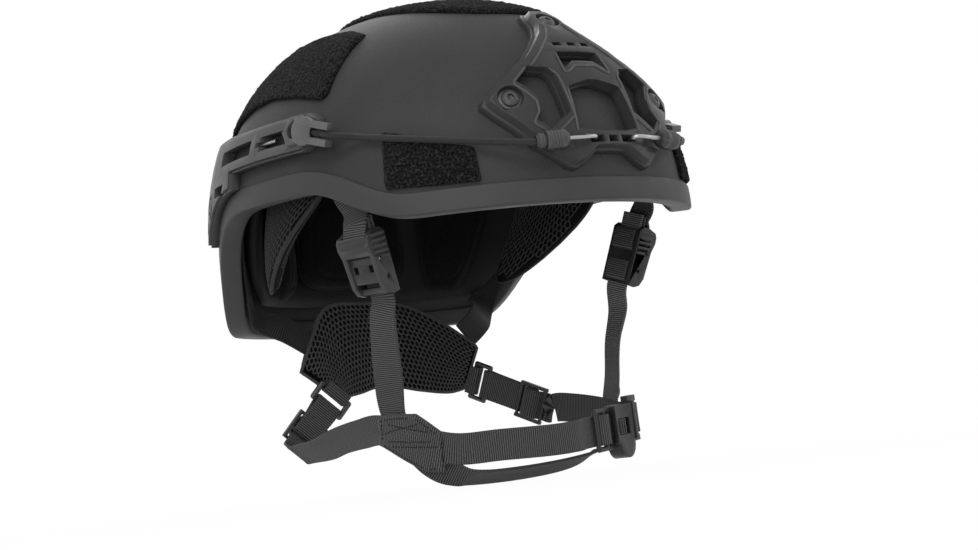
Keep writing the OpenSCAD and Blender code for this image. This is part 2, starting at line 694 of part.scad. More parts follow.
// Strap adjusters. In each frame +X is forward along the webbing's width, +Y up and +Z outward.
adj_right = let (y = unit([-0.24, -0.06, 0.97]), z0 = [-1, -0.18, 0], z = unit(z0 - (z0 * y) * y))
    [[-93.2, -55.2, -19], cross(y, z), y, z];
adj_left = let (y = unit([0.2, -0.28, 0.94]), z0 = [1, 0, 0], z = unit(z0 - (z0 * y) * y))
    [[95, -35, -18], cross(y, z), y, z];
adj_half = web_w / 2 + 0.5;
top_bar = [0, 13.3, 2];
cam_at = [0, 2.5, 2.2];
cheek = [[-16, -5.5], [15, -5.5], [17.2, -3], [17.4, 0.5], [15.2, 6.2], [13, 7.4], [9.5, 7.6],
         [4.5, 6], [-11, 4.8], [-15.2, 2.6], [-16.6, -1]];
hood = [[4.6, 4.9], [8.4, 6], [12.2, 6.2], [14.6, 6], [14.9, 6.8], [12.6, 7.5], [9, 7.5], [4.6, 6]];
module side_cut(w) {
    multmatrix([[0, 0, 1, -w / 2], [1, 0, 0, 0], [0, 1, 0, 0], [0, 0, 0, 1]])
        linear_extrude(height = w) children();
}
module adjuster() {
    difference() {
        union() {
            for (m = [-1, 1]) translate([m * (adj_half + 1.4), 0, 0]) {
                side_cut(2.8) polygon(cheek);
                for (k = [0 : 4]) translate([m * 0.5, 2.2 + k * 2.9, 0])
                    side_cut(2.8) polygon([[0, -4.8], [1.4, -4.8], [1.4, 4.6], [0, 4.6]]);
            }
            side_cut(2 * adj_half + 2) polygon(hood);
            translate([-adj_half - 1, -15.8, -5.5]) cube([2 * adj_half + 2, 31, 1.4]);
            translate([-adj_half - 1, -15.4, -1.3]) cube([2 * adj_half + 2, 3, 2.6]);
            translate([-adj_half - 1, top_bar.y, top_bar.z]) rotate([0, 90, 0])
                cylinder(r = 1.5, h = 2 * adj_half + 2, $fn = 20);
        }
        translate([-20, cam_at.y, cam_at.z]) rotate([0, 90, 0]) cylinder(r = 1.05, h = 40, $fn = 20);
        translate([-20, -7.5, -0.6]) rotate([0, 90, 0]) cylinder(r = 1.2, h = 40, $fn = 12);
    }
}
module adjuster_right() {
    color("#2b2c2e") in_frame(adj_right) adjuster();
}
module adjuster_left() {
    color("#2b2c2e") in_frame(adj_left) adjuster();
}
module cam() {
    w = 2 * adj_half - 0.4;
    difference() {
        union() {
            translate([-w / 2, cam_at.y, cam_at.z]) rotate([0, 90, 0]) cylinder(r = 2.2, h = w, $fn = 32);
            translate([-w / 2, cam_at.y - 12, cam_at.z + 0.4]) cube([w, 12, 1.8]);
            translate([-w / 2, cam_at.y - 2, cam_at.z - 3.9]) cube([w, 1.8, 3.2]);
        }
        translate([-20, cam_at.y, cam_at.z]) rotate([0, 90, 0]) cylinder(r = 1.05, h = 40, $fn = 20);
        for (x = [-5.4, 5.4]) translate([x - 1.5, cam_at.y - 6.4, -5]) cube([3, 3.6, 20]);
    }
}
module cam_right() {
    color("#303133") in_frame(adj_right) cam();
}
module cam_left() {
    color("#303133") in_frame(adj_left) cam();
}
module cam_pins() {
    len_x = 2 * adj_half + 5;
    color("#9a9b9d") for (f = [adj_right, adj_left])
        in_frame(f) translate([-len_x / 2, cam_at.y, cam_at.z]) rotate([0, 90, 0])
            cylinder(r = 1, h = len_x, $fn = 20);
}

// The upper strap is sewn round the adjuster's top bar, its short end against the run.
upper_turn = [[0, 23, -0.7], [0, 18, -0.7], [0, 14.2, -0.55], [0, 11.5, 0.3], [0, 10.75, 2], [0, 11.5, 3.8],
              [0, 14, 4.5], [0, 18, 3], [0, 22, 1.25]];
module upper_strap_right() {
    wy = adj_right[1];
    up = [for (p = [[62.5, 17], [63.5, 26], [65.3, 34]]) skin(p.x, p.y, inner - 3.2)];
    path = concat([for (p = upper_turn) at(adj_right, p)], [skin(60.8, 8, -13.2)], up);
    wide = concat([for (p = upper_turn) wy], [wy], [for (p = up) [0.4, -0.915, 0.05]]);
    color("#2e2f31") ribbon(path, wide, web_w, web_t);
}
module upper_strap_left() {
    wy = adj_left[1];
    up = [for (p = [[-63.8, 17], [-64.5, 26], [-65.3, 34]]) skin(p.x, p.y, inner - 3.2)];
    path = concat([for (p = upper_turn) at(adj_left, p)], [skin(-65.35, 8.5, -12.94)], up);
    wide = concat([for (p = upper_turn) wy], [wy], [for (p = up) [0.4, 0.915, -0.05]]);
    color("#2e2f31") ribbon(path, wide, web_w, web_t);
}

// The lower strap runs through the cam, and its free end stands up behind the upper strap.
lower_run = [[0, 24, -3.1], [0, 14, -3.05], [0, 0, -3.05], [0, -12, -3.05], [0, -20, -3.05]];
module lower_strap_right() {
    wy = adj_right[1];
    path = [[-86.5, -50.5, -49], [-79, -41.5, -74], [-70.5, -33.4, -95], [-67.7, -39.3, -109],
            [-63, -49, -120.5], [-54, -56.4, -129.6], [-43, -60, -133.2], [-17, -61, -135],
            [9, -62, -133.8], [22, -66, -129.5], [29, -69, -125]];
    wide = [[0.3, -0.95, -0.05], [0.45, -0.88, 0], [0.2, -0.97, 0.15], [0.27, -0.76, 0.58],
            [0.4, -0.54, 0.74], [0.3, -0.85, 0.4], [0.1, -1, 0.1], [0, -1, 0],
            [0, -1, 0], [0, -1, 0], [0, -1, 0]];
    color("#2e2f31") ribbon(concat([for (p = lower_run) at(adj_right, p)], path),
                            concat([for (p = lower_run) wy], wide), web_w, web_t);
}
module lower_strap_left() {
    wy = adj_left[1];
    path = [[89.6, -26.5, -48], [85, -25, -64], [78, -29.5, -81.5], [69.5, -36.5, -94], [63.9, -41, -101],
            [63.1, -43.2, -108.5]];
    wide = [[0.1, 0.98, 0.1], [0, 1, 0.1], [-0.35, 0.9, 0.2], [-0.6, 0.75, 0.25], [-0.15, 0.95, 0.2],
            [-0.12, 0.97, 0.2]];
    color("#2e2f31") ribbon(concat([for (p = lower_run) at(adj_left, p)], path),
                            concat([for (p = lower_run) wy], wide), web_w, web_t);
}

// Webbing loops through a three bar slide: [along, normal] with the slide's centre bar at zero.
slide_pitch = 8.2;
ring_l_u = 34;
function looped(u) = [
    [1.5, 1.55], [0, 2.15], [-1.55, 1.5], [-2.15, 0], [-1.5, -1.6], [0.6, -2.35], [4, -3.2], [8.2, -3.85],
    [u - 6, -4.9], [u - 1, -5.6], [u + 1.87, -4.82], [u + 2.65, -2.95], [u + 1.87, -1.08],
    [u - 1, -0.3], [u - 6, -1.2], [8.2, -2.05], [6, -0.9], [4.6, 1.3], [2.6, 3.3], [0, 4],
    [-2.6, 3.3], [-4.6, 1.3], [-6, -0.9], [-8.2, -2.05], [-12, -2.2]];
function place(f, uv) = f[0] + uv.x * f[1] + uv.y * f[3];
module three_bar() {
    half_x = web_w / 2 + 0.6;
    for (y = [-slide_pitch, 0, slide_pitch]) translate([y, -half_x - 1, 0]) rotate([-90, 0, 0])
        cylinder(r = 1, h = 2 * half_x + 2, $fn = 20);
    for (m = [-1, 1]) translate([-slide_pitch - 0.8, m * (half_x + 0.9) - 0.9, -1.2])
        cube([2 * slide_pitch + 1.6, 1.8, 2.4]);
}

// Chin strap: looped to the slotted ring at the rear, then forward and round to the chin buckle.
// Its last run, round the ladder, is a piece of its own because it bends as the ladder moves.
k_wide = unit([0.764, 0, -0.645]);
k_up = [0.645, 0, 0.764];
k_from = [-68.3, 55, -108.6];
function in_k(y, n) = k_from + y * [0, 1, 0] + n * k_up;
slide_r = let (o = in_k(22.5, 15), u = unit(in_k(17.8, 38) - o)) [o, u, -k_wide, cross(k_wide, u) * -1];
ring_r_u = 18.5;
buckle = square([30, -74, -113.7], [0.93, 0.36, 0.06], [0, 0, 1]);
ladder_turn = [[-16, 0, -2.3], [-10, 0, -2.5], [-7, 0, -2.5], [-5, 0, -1.5], [-3.4, 0, 0.4],
               [-1, 0, 2.1], [1.5, 0, 2.5], [3.4, 0, 1.6], [4, 0, 0], [3.4, 0, -1.6], [1.5, 0, -2.5],
               [-2, 0, -3.4], [-7, 0, -4.4], [-14, 0, -4.3]];
module chin_webbing(from, to) {
    loop_pts = [for (p = looped(ring_r_u)) place(slide_r, p)];
    run = [in_k(19.5, 1.2), in_k(15.5, -0.6), in_k(9, -0.3), [-71, 40, -107.6], [-74, 18, -105.8],
           [-75, -4, -104.6], [-74, -22, -103.5], [-69.4, -44.5, -106.4], [-57, -61.5, -112.9],
           [-36.8, -74, -117.4], [-12, -82.4, -116], [4, -84.2, -115.4]];
    wide = [k_wide, k_wide, k_wide, [0.7, 0, -0.72], [0.55, 0.05, -0.84], [0.35, 0.05, -0.94],
            [0.15, 0.1, -0.98], [0.05, 0.2, -0.98], [0, 0.1, -0.99], [0, 0, -1], [0, 0, -1], [0, 0, -1]];
    turn = [for (p = ladder_turn) at(buckle, p)];
    sides = concat([for (p = loop_pts) k_wide], wide, [for (p = turn) -buckle[2]]);
    color("#2e2f31")
        ribbon(concat(loop_pts, run, turn), sides, web_w, web_t, n = 2, from = from, to = to);
}
module chin_strap() {
    chin_webbing(0, 70);
}
module chin_strap_end() {
    chin_webbing(70, 0);
}
module chin_slide() {
    color("#2b2c2e") in_frame(slide_r) three_bar();
}
module slotted_ring() {
    f = [place(slide_r, [ring_r_u, -2.95]), slide_r[2], slide_r[1], -slide_r[3]];
    color("#353638") in_frame(f) wire_frame(web_w / 2 + 2.2, 0, 9, 1.6);
}

// Nape pad and the webbing that carries it.
pad_tops = [[-57, 72, -59], [-51, 78, -42], [-33, 84, -27.5], [-5, 88, -25.7], [21, 84, -29],
            [39, 68, -43.5], [46, 50, -58]];
pad_lows = [[-33, 73, -79], [-27, 81, -79], [-14, 86, -77], [4, 87.5, -74], [22, 77, -79], [33, 65, -82],
            [38, 56, -81]];
module nape_pad() {
    color("#303133") padding(pad_tops, pad_lows, nape_t);
}
module nape_strap() {
    loop_pts = [for (p = looped(ring_l_u)) place(glide_l, p)];
    run = [[55.6, -8, -98.2], [57.6, -22, -100.2], [59.6, -36, -103], [61.3, -48, -106.4]];
    turn = [[36.5, 3, -8], [36.5, 3, -4], [36.5, 3, -0.5], [35.9, 3, 1.6], [34, 3, 2.5], [32.2, 3, 1.6],
            [31.6, 3, -0.5], [31.9, 3, -6], [33.4, 3, -14]];
    bar = [for (p = turn) at(buckle, p)];
    sides = concat([for (p = loop_pts) glide_l[2]], [for (p = run) [0, -0.2, 0.98]],
                   [for (p = bar) buckle[2]]);
    color("#2e2f31") ribbon(concat(loop_pts, run, bar), sides, web_w, web_t, n = 2);
}
glide_l = let (u = unit([-0.276, 0.877, 0.391]), w0 = [0, 0, -1], w = unit(w0 - (w0 * u) * u))
    [[52, 13, -93.6], u, w, cross(u, w)];
module tri_glide() {
    color("#353638") in_frame(glide_l) three_bar();
}
module wire_ring() {
    f = [place(glide_l, [ring_l_u, -2.95]), glide_l[2], glide_l[1], -glide_l[3]];
    color("#77797b") in_frame(f) wire_frame(web_w / 2 + 1.8, 0, 10, 1.3);
}

// The pad hangs from the rings by short webbing tabs, and from the shell by two rear straps.
module tab(f, bar, reach) {
    turn = [[reach, -2.65], [0, -2.65], [-1.9, -1.9], [-2.65, 0], [-1.9, 1.9], [0, 2.65], [reach, 2.65]];
    pts = [for (q = turn) bar + q.x * f[1] + q.y * f[3]];
    ribbon(pts, [for (p = pts) f[2]], web_w, web_t, n = 2);
}
module nape_tabs() {
    color("#2e2f31") {
        tab(slide_r, place(slide_r, [ring_r_u + 9, -2.95]), 3.4);
        tab(glide_l, place(glide_l, [ring_l_u + 9, -2.95]), 3.2);
    }
}
module rear_straps() {
    inside = [[125, 14, 3.1], [129, 0, 3], [133.5, -14, 3.2], [137.5, -30.5, 5.6]];
    right = concat([for (q = inside) skin(q.x, q.y, inner - q.z)],
                   [[-68, 74, -39], [-58, 77, -45]]);
    left = concat([for (q = inside) skin(-q.x, q.y, inner - q.z)],
                  [[62, 66, -40], [46, 61, -50]]);
    wide = [[0.47, 0.88, 0], [0.53, 0.85, 0], [0.57, 0.8, 0.12], [0.5, 0.6, 0.6], [0.35, 0.3, 0.88],
            [0.3, 0.2, 0.95]];
    color("#2e2f31") {
        ribbon(right, wide, web_w, web_t);
        ribbon(left, [for (w = wide) [w.x, -w.y, -w.z]], web_w, web_t);
    }
}

// Chin buckle: a ladder with a flat tongue that lies in the body.
module buckle_ladder() {
    color("#2b2c2e") in_frame(buckle) {
        for (x = [-7, 1.5]) translate([x, -9.9, 0]) rotate([-90, 0, 0])
            cylinder(r = 1.4, h = 19.8, $fn = 20);
        for (m = [-1, 1]) translate([-7, m * 9.9, 0]) {
            rotate([0, 90, 0]) cylinder(r = 1.4, h = 14, $fn = 20);
            sphere(r = 1.4, $fn = 20);
        }
        translate([5.2, -11.2, -1.3]) cube([2.2, 22.4, 2.6]);
        translate([5.2, -7, -1.3]) cube([16, 14, 2.6]);
    }
}
module buckle_body() {
    color("#26272a") in_frame(buckle) difference() {
        union() {
            translate([8, -9, -4.2]) cube([21, 20.5, 8.4]);
            translate([18, -9, -4.2]) cylinder(r = 8, h = 8.4, $fn = 40);
            translate([27, -8, -4.9]) cube([2.4, 20.5, 9.8]);
            for (y = [-7.6, 13.6]) translate([27, y - 1.6, -2]) cube([9, 3.2, 4]);
            translate([34, -7.6, 0]) rotate([-90, 0, 0]) cylinder(r = 1.4, h = 21.2, $fn = 20);
        }
        translate([7, -7.4, -1.7]) cube([15, 14.8, 3.4]);
        translate([10, -4.4, 1]) cube([12, 8.8, 5]);
    }
}
module buckle_lock() {
    color("#3a3b3d") in_frame(buckle) union() {
        translate([10.4, -4, 1.6]) cube([8.2, 8, 2.3]);
        for (k = [0 : 2]) translate([11.4 + 2.4 * k, -3.6, 3.8]) cube([1.2, 7.2, 0.8]);
    }
}

shell();
edge_trim();
shell_discs();
impact_liner();
front_pad();
crown_pad();
side_pads();
rear_pads();
crown_patch();
temple_patches();
rear_patches();
front_shroud();
shroud_screws();
shroud_washers();
shroud_nuts();
rail_right();
rail_left();
rail_screws();
rail_nuts();
strap_anchors();
rail_forks();
rail_rods();
bungee_right();
bungee_left();
grip_right();
grip_left();
hook_right();
hook_left();
upper_strap_right();
upper_strap_left();
adjuster_right();
adjuster_left();
cam_right();
cam_left();
cam_pins();
lower_strap_right();
lower_strap_left();
chin_strap();
chin_strap_end();
chin_slide();
slotted_ring();
nape_pad();
nape_tabs();
wire_ring();
nape_strap();
tri_glide();
rear_straps();
buckle_ladder();
buckle_body();
buckle_lock();
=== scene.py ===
"""Combat helmet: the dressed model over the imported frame. Lengths are millimetres until MM scales them."""
import json
import math

import bmesh
import bpy
import numpy as np
from mathutils import Matrix, Vector
from mathutils.bvhtree import BVHTree
from mathutils.geometry import delaunay_2d_cdt


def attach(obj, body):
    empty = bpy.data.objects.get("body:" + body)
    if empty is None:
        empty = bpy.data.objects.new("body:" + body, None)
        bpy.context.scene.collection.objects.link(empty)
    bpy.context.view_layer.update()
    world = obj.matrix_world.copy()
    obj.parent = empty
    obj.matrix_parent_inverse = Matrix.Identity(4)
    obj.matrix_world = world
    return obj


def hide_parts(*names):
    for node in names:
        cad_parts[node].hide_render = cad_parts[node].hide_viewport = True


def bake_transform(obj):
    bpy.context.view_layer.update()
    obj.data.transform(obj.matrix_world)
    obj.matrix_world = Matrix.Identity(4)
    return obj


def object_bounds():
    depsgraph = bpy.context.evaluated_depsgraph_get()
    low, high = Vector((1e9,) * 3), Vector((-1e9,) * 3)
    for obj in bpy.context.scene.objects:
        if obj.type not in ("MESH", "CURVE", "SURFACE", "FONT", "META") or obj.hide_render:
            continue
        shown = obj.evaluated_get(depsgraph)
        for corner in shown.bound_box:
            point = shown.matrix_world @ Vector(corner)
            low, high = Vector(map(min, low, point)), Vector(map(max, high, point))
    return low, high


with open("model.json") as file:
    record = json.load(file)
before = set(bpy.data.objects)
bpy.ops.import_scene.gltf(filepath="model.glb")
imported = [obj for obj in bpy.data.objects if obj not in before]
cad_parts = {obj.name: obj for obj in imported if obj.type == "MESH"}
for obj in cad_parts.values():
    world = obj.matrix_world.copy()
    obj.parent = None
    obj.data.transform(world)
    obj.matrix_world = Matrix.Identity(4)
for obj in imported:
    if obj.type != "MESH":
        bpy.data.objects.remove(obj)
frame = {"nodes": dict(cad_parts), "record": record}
cad_box = [list(v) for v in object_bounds()]
rng = np.random.default_rng(7)
MM = 0.001              # metres in a millimetre
TO_MM = 1000            # millimetres in a metre
WELD = 2e-5             # metres within which two points are one

# The same named sizes as the part's source.
HALF_W, BROW, NAPE, CROWN, BACK = 122.0, 139.7, 136.9, 125.4, 9.2
WIDE_Z, SIDE_P, BROW_P, NAPE_P, FLARE = -6.7, 2.23, 2.34, 2.41, 0.029
DOME = CROWN - WIDE_Z
SHELL_T, EAR_H, NAPE_D, BAND, TRIM_T, SEAT = 8.5, 21.0, 38.5, 10.5, 1.1, 0.3
PATCH_T, WEB_W, WEB_T, NAPE_T, LINER_T, PAD_T = 2.4, 16.0, 1.5, 7.0, 9.0, 14.0
INNER = -SHELL_T
LINER_OFF = INNER - 4.6
PAD_OFF = LINER_OFF - LINER_T
PAD_GAP = 1.2


# ---------------------------------------------------------------- the skin
# The shell's outer face by angle (0 at the brow, 90 at the wearer's right), height and distance outward.
def unit(v):
    v = np.asarray(v, float)
    return v / np.linalg.norm(v, axis=-1, keepdims=True)


def plan_r(a, off):
    ln = np.where(np.cos(a) > 0, BROW, NAPE) + off
    return 1 / np.sqrt((np.sin(a) / (HALF_W + off)) ** 2 + (np.cos(a) / ln) ** 2)


def rise(a, z, off):
    p = SIDE_P * np.sin(a) ** 2 + np.where(np.cos(a) > 0, BROW_P, NAPE_P) * np.cos(a) ** 2
    t = np.clip((z - WIDE_Z) / (DOME + off), 0, 1)
    return np.where(z < WIDE_Z, 1 + FLARE * ((WIDE_Z - z) / 60) ** 2, (1 - t ** p) ** (1 / p))


def skin(deg, z, off=0.0):
    deg, z, off = np.broadcast_arrays(*(np.asarray(v, float) for v in (deg, z, off)))
    a = np.radians(deg)
    r = plan_r(a, off) * rise(a, z, off)
    up = np.maximum(0, (z - WIDE_Z) / (DOME + off))
    return np.stack([-np.sin(a) * r, -np.cos(a) * r + BACK * up * up, z], -1)


def rim(deg):
    """Height of the shell's edge: level at the brow, up over the ear, down to the nape."""
    a = np.abs(((np.asarray(deg, float) + 180) % 360) - 180)

    def raw(x):
        s = np.clip((x - 45) / 27, 0, 1)
        d = np.clip((x - 98) / 42, 0, 1) ** 1.4
        return EAR_H * s * s * (3 - 2 * s) - (EAR_H + NAPE_D) * d * d * (3 - 2 * d)
    return sum(raw(a + k) for k in (-4, -2, 0, 2, 4)) / 5


def above_rim(deg, w, off):
    mm = plan_r(np.radians(deg), 0) * math.pi / 180
    d = unit(np.stack([4 * mm, rim(deg + 2) - rim(deg - 2)], -1))
    return skin(deg + w * -d[..., 1] / mm, rim(deg) + w * d[..., 0], off)


# ---------------------------------------------------------------- mesh helpers
def linked(name, data):
    ob = bpy.data.objects.new(name, data)
    bpy.context.scene.collection.objects.link(ob)
    return ob


def mesh(name, verts, faces, mat, attr=None):
    me = bpy.data.meshes.new(name)
    me.from_pydata((np.asarray(verts, float) * MM).tolist(), [], [tuple(int(i) for i in f) for f in faces])
    if attr is not None:
        layer = me.attributes.new("lay", "FLOAT_VECTOR", "POINT")
        layer.data.foreach_set("vector", np.asarray(attr, np.float32).ravel())
    me.shade_smooth()
    me.materials.append(mat)
    return linked(name, me)


def clean(ob, weld=0.0):
    """Turns every face outward, once points within weld metres are joined."""
    bm = bmesh.new()
    bm.from_mesh(ob.data)
    if weld:
        bmesh.ops.remove_doubles(bm, verts=bm.verts, dist=weld)
    bmesh.ops.recalc_face_normals(bm, faces=bm.faces)
    bm.to_mesh(ob.data)
    bm.free()
    return ob


def grid_faces(rows, cols, wrap=False, start=0, flip=False):
    out = []
    for i in range(rows - 1):
        for j in range(cols if wrap else cols - 1):
            a, b = start + i * cols + j, start + i * cols + (j + 1) % cols
            q = (a, b, b + cols, a + cols)
            out.append(q[::-1] if flip else q)
    return out


def sheath(rows, cols, start=0, closed=False):
    """Faces round a run of rings: its ends are capped, or its last ring is joined to its first."""
    faces = grid_faces(rows, cols, wrap=True, start=start)
    first = tuple(range(start, start + cols))
    last = tuple(i + (rows - 1) * cols for i in first)
    if not closed:
        return faces + [first[::-1], last]
    return faces + list(zip(last, last[1:] + last[:1], first[1:] + first[:1], first))


def merged(obs, name=None):
    first = obs[0]
    bm = bmesh.new()
    for o in obs:
        bm.from_mesh(o.data)
    bm.to_mesh(first.data)
    bm.free()
    for o in obs[1:]:
        bpy.data.objects.remove(o)
    if name:
        first.name = name
    return first


def mirrored(ob):
    ob.data.transform(Matrix.Scale(-1, 4, (1, 0, 0)))
    ob.data.flip_normals()
    return ob


def apply_mods(ob):
    bpy.context.view_layer.update()
    dg = bpy.context.evaluated_depsgraph_get()
    new = bpy.data.meshes.new_from_object(ob.evaluated_get(dg), preserve_all_data_layers=True, depsgraph=dg)
    ob.modifiers.clear()
    ob.data = new


def settle(ob, slot, *nodes, body="helmet"):
    """The piece rides on body and stands for the CAD nodes, which are hidden; slot is not used."""
    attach(ob, body)
    if nodes:
        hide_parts(*nodes)
    return ob


def smooth(pts, n):
    """Catmull-Rom curve through the points, n steps to each span."""
    pts = np.asarray(pts, float)
    m, out = len(pts), []
    for i in range(m - 1):
        p0, p1, p2, p3 = pts[max(0, i - 1)], pts[i], pts[i + 1], pts[min(m - 1, i + 2)]
        for s in range(n):
            t = s / n
            out.append(0.5 * (2 * p1 + (p2 - p0) * t + (2 * p0 - 5 * p1 + 4 * p2 - p3) * t * t
                              + (3 * p1 - p0 - 3 * p2 + p3) * t ** 3))
    out.append(pts[-1])
    return np.array(out)


def headings(pts):
    return unit(np.vstack([pts[1:], pts[-1:]]) - np.vstack([pts[:1], pts[:-1]]))


def run_of(pts):
    """Distance along the points from the first."""
    return np.concatenate([[0], np.cumsum(np.linalg.norm(np.diff(pts, axis=0), axis=1))])


def sample(s, run, pts):
    return np.stack([np.interp(s, run, pts[:, k]) for k in range(pts.shape[1])], -1)


def resample(loop, step):
    loop = np.vstack([loop, loop[:1]])
    d = run_of(loop)
    return sample(np.linspace(0, d[-1], int(d[-1] / step), endpoint=False), d, loop)


# The webbing's section: across in half widths, and the height there in half thicknesses.
WEB_U = np.array([-1, -0.985, -0.93, -0.86, -0.62, -0.3, 0, 0.3, 0.62, 0.86, 0.93, 0.985, 1])
WEB_H = np.array([0.3, 0.78, 1, 1, 0.9, 0.9, 0.9, 0.9, 0.9, 1, 1, 0.78, 0.3])
WEB_N = 8               # steps from one station of a strap to the next


def web_axes(path, sides):
    pts, dirs = smooth(path, WEB_N), smooth(sides, WEB_N)
    h = headings(pts)
    raw = dirs - np.sum(dirs * h, 1, keepdims=True) * h
    return pts, unit(raw), unit(np.cross(h, raw))


def webbing(name, path, sides, mat, lo=0, hi=None):
    """Woven strap: selvedges stand a little proud, and lay holds (across, along, face) in mm."""
    pts, u, v = web_axes(path, sides)
    pts, u, v, run = (w[lo:hi] for w in (pts, u, v, run_of(pts)))
    prof = [(x * WEB_W / 2, y * WEB_T / 2) for x, y in zip(WEB_U, WEB_H)]
    ring = prof + [(x, -y) for x, y in prof[::-1]]
    verts, attr = [], []
    for p, a, b, s in zip(pts, u, v, run):
        for x, y in ring:
            verts.append(p + a * x + b * y)
            attr.append((x, s, 1.0 if y > 0 else -1.0))
    return clean(mesh(name, verts, sheath(len(pts), len(ring)), mat, attr))


def tube(name, pts, r, mat, segs=12, closed=False):
    """Round tube; lay holds (turn, along, radius)."""
    pts = np.asarray(pts, float)
    h = unit(np.roll(pts, -1, 0) - np.roll(pts, 1, 0)) if closed else headings(pts)
    ref = np.array([0.0, 0, 1]) if abs(h[0][2]) < 0.9 else np.array([1.0, 0, 0])
    u = unit(np.cross(h[0], ref))
    verts, attr, run = [], [], 0.0
    rr = np.broadcast_to(np.asarray(r, float), (len(pts),))
    for i, p in enumerate(pts):
        if i:
            run += np.linalg.norm(p - pts[i - 1])
        u = unit(u - (u @ h[i]) * h[i])
        v = np.cross(h[i], u)
        for j in range(segs):
            c = 2 * math.pi * j / segs
            verts.append(p + rr[i] * (math.cos(c) * u + math.sin(c) * v))
            attr.append((j / segs, run, rr[i]))
    return mesh(name, verts, sheath(len(pts), segs, closed=closed), mat, attr)


STITCH, GAP, THREAD_R = 1.6, 2.2, 0.3       # a stitch's length, the step to the next, the thread's radius


def stitches(name, lines, mat, out):
    """Thread lying in dashes along each line of points, lifted along out in the middle of each."""
    verts, faces = [], []
    for line in lines:
        d = run_of(line)
        for s in np.arange(0.3, d[-1] - STITCH, GAP):
            q = sample(s + np.array([0, 0.15, 0.5, 0.85, 1]) * STITCH, d, line)
            q = q + out * np.array([-0.12, 0.12, 0.2, 0.12, -0.12])[:, None]
            start = len(verts)
            for p, h, r in zip(q, headings(q), THREAD_R * np.array([0.5, 0.9, 1, 0.9, 0.5])):
                u = unit(np.cross(h, [0.3, 0.5, 0.81]))
                v = np.cross(h, u)
                verts += [p + r * (math.cos(c) * u + math.sin(c) * v) for c in (0, 1.257, 2.513, 3.77, 5.027)]
            faces += sheath(5, 5, start)
    return mesh(name, verts, faces, mat)


# ---------------------------------------------------------------- materials
class Tree:
    """A node tree that is written in short calls."""
    def __init__(self, owner):
        owner.use_nodes = True
        self.t = owner.node_tree
        self.t.nodes.clear()

    def node(self, kind, ins=None, **props):
        n = self.t.nodes.new(kind)
        for k, v in props.items():
            setattr(n, k, v)
        for k, v in (ins or {}).items():
            if isinstance(v, bpy.types.NodeSocket):
                self.t.links.new(v, n.inputs[k])
            else:
                n.inputs[k].default_value = v
        return n

    def math(self, op, *values, clamp=False):
        return self.node("ShaderNodeMath", dict(enumerate(values)), operation=op, use_clamp=clamp).outputs[0]

    def span(self, v, lo, hi, a=0.0, b=1.0):
        return self.node("ShaderNodeMapRange", {"Value": v, "From Min": lo, "From Max": hi, "To Min": a,
                                                "To Max": b}, interpolation_type="SMOOTHSTEP").outputs[0]

    def seen(self, *kinds):
        """1 for rays of these kinds: they see plain white where others see soft light or a grey floor."""
        ray = self.node("ShaderNodeLightPath").outputs
        out = ray["Is %s Ray" % kinds[0]]
        for kind in kinds[1:]:
            out = self.math("ADD", out, ray["Is %s Ray" % kind], clamp=True)
        return out


class Finish(Tree):
    """A material of one grey level; noise and cells are laid in the object's own millimetres."""
    def __init__(self, name, level, rough=0.6, metal=0.0, spec=0.5, sheen=0.0, coat=0.0):
        self.mat = bpy.data.materials.new(name)
        super().__init__(self.mat)
        self.level = level
        self.bsdf = self.node("ShaderNodeBsdfPrincipled", {
            "Roughness": rough, "Metallic": metal, "Specular IOR Level": spec, "Sheen Weight": sheen,
            "Coat Weight": coat})
        self.node("ShaderNodeOutputMaterial", {0: self.bsdf.outputs[0]})
        if sheen:
            self.bsdf.inputs["Sheen Roughness"].default_value = 0.45
        if coat:
            self.bsdf.inputs["Coat Roughness"].default_value = 0.25
        place = self.node("ShaderNodeTexCoord").outputs["Object"]
        self.p = self.node("ShaderNodeVectorMath", {0: place, "Scale": TO_MM}, operation="SCALE").outputs[0]

    def lay(self):
        vec = self.node("ShaderNodeAttribute", attribute_name="lay").outputs["Vector"]
        return self.node("ShaderNodeSeparateXYZ", {0: vec}).outputs[:2]

    def noise(self, scale, detail=4.0, rough=0.55, stretch=None):
        vec = self.p
        if stretch:
            vec = self.node("ShaderNodeVectorMath", {0: vec, 1: stretch}, operation="MULTIPLY").outputs[0]
        return self.node("ShaderNodeTexNoise", {"Vector": vec, "Scale": scale, "Detail": detail,
                                                "Roughness": rough}).outputs["Fac"]

    def cells(self, scale, feature="F1"):
        return self.node("ShaderNodeTexVoronoi", {"Vector": self.p, "Scale": scale}, feature=feature
                         ).outputs["Distance"]

    def edges_worn_and_lit(self, lo, hi, most):
        """Grows on convex edges: wear, and painted highlight along them."""
        point = self.node("ShaderNodeNewGeometry").outputs["Pointiness"]
        return self.span(point, lo, hi, 0.0, most)

    def sine(self, v, turns):
        return self.math("SINE", self.math("MULTIPLY", v, turns * math.pi))

    def tone(self, fac, a, b):
        """From a to b, each a colour socket or a number of times the material's grey."""
        a, b = (v if isinstance(v, bpy.types.NodeSocket) else (self.level * v,) * 3 + (1.0,) for v in (a, b))
        return self.node("ShaderNodeMix", {0: fac, 6: a, 7: b}, data_type="RGBA").outputs[2]

    def done(self, colour, rough, height, depth_mm, strength):
        """Links colour, roughness (or None) and a bump of a depth in mm to the shader."""
        bump = self.node("ShaderNodeBump", {"Height": height, "Distance": depth_mm * MM,
                                            "Strength": strength})
        for sock, key in ((colour, "Base Color"), (rough, "Roughness"), (bump.outputs[0], "Normal")):
            if sock:
                self.t.links.new(sock, self.bsdf.inputs[key])
        return self.mat


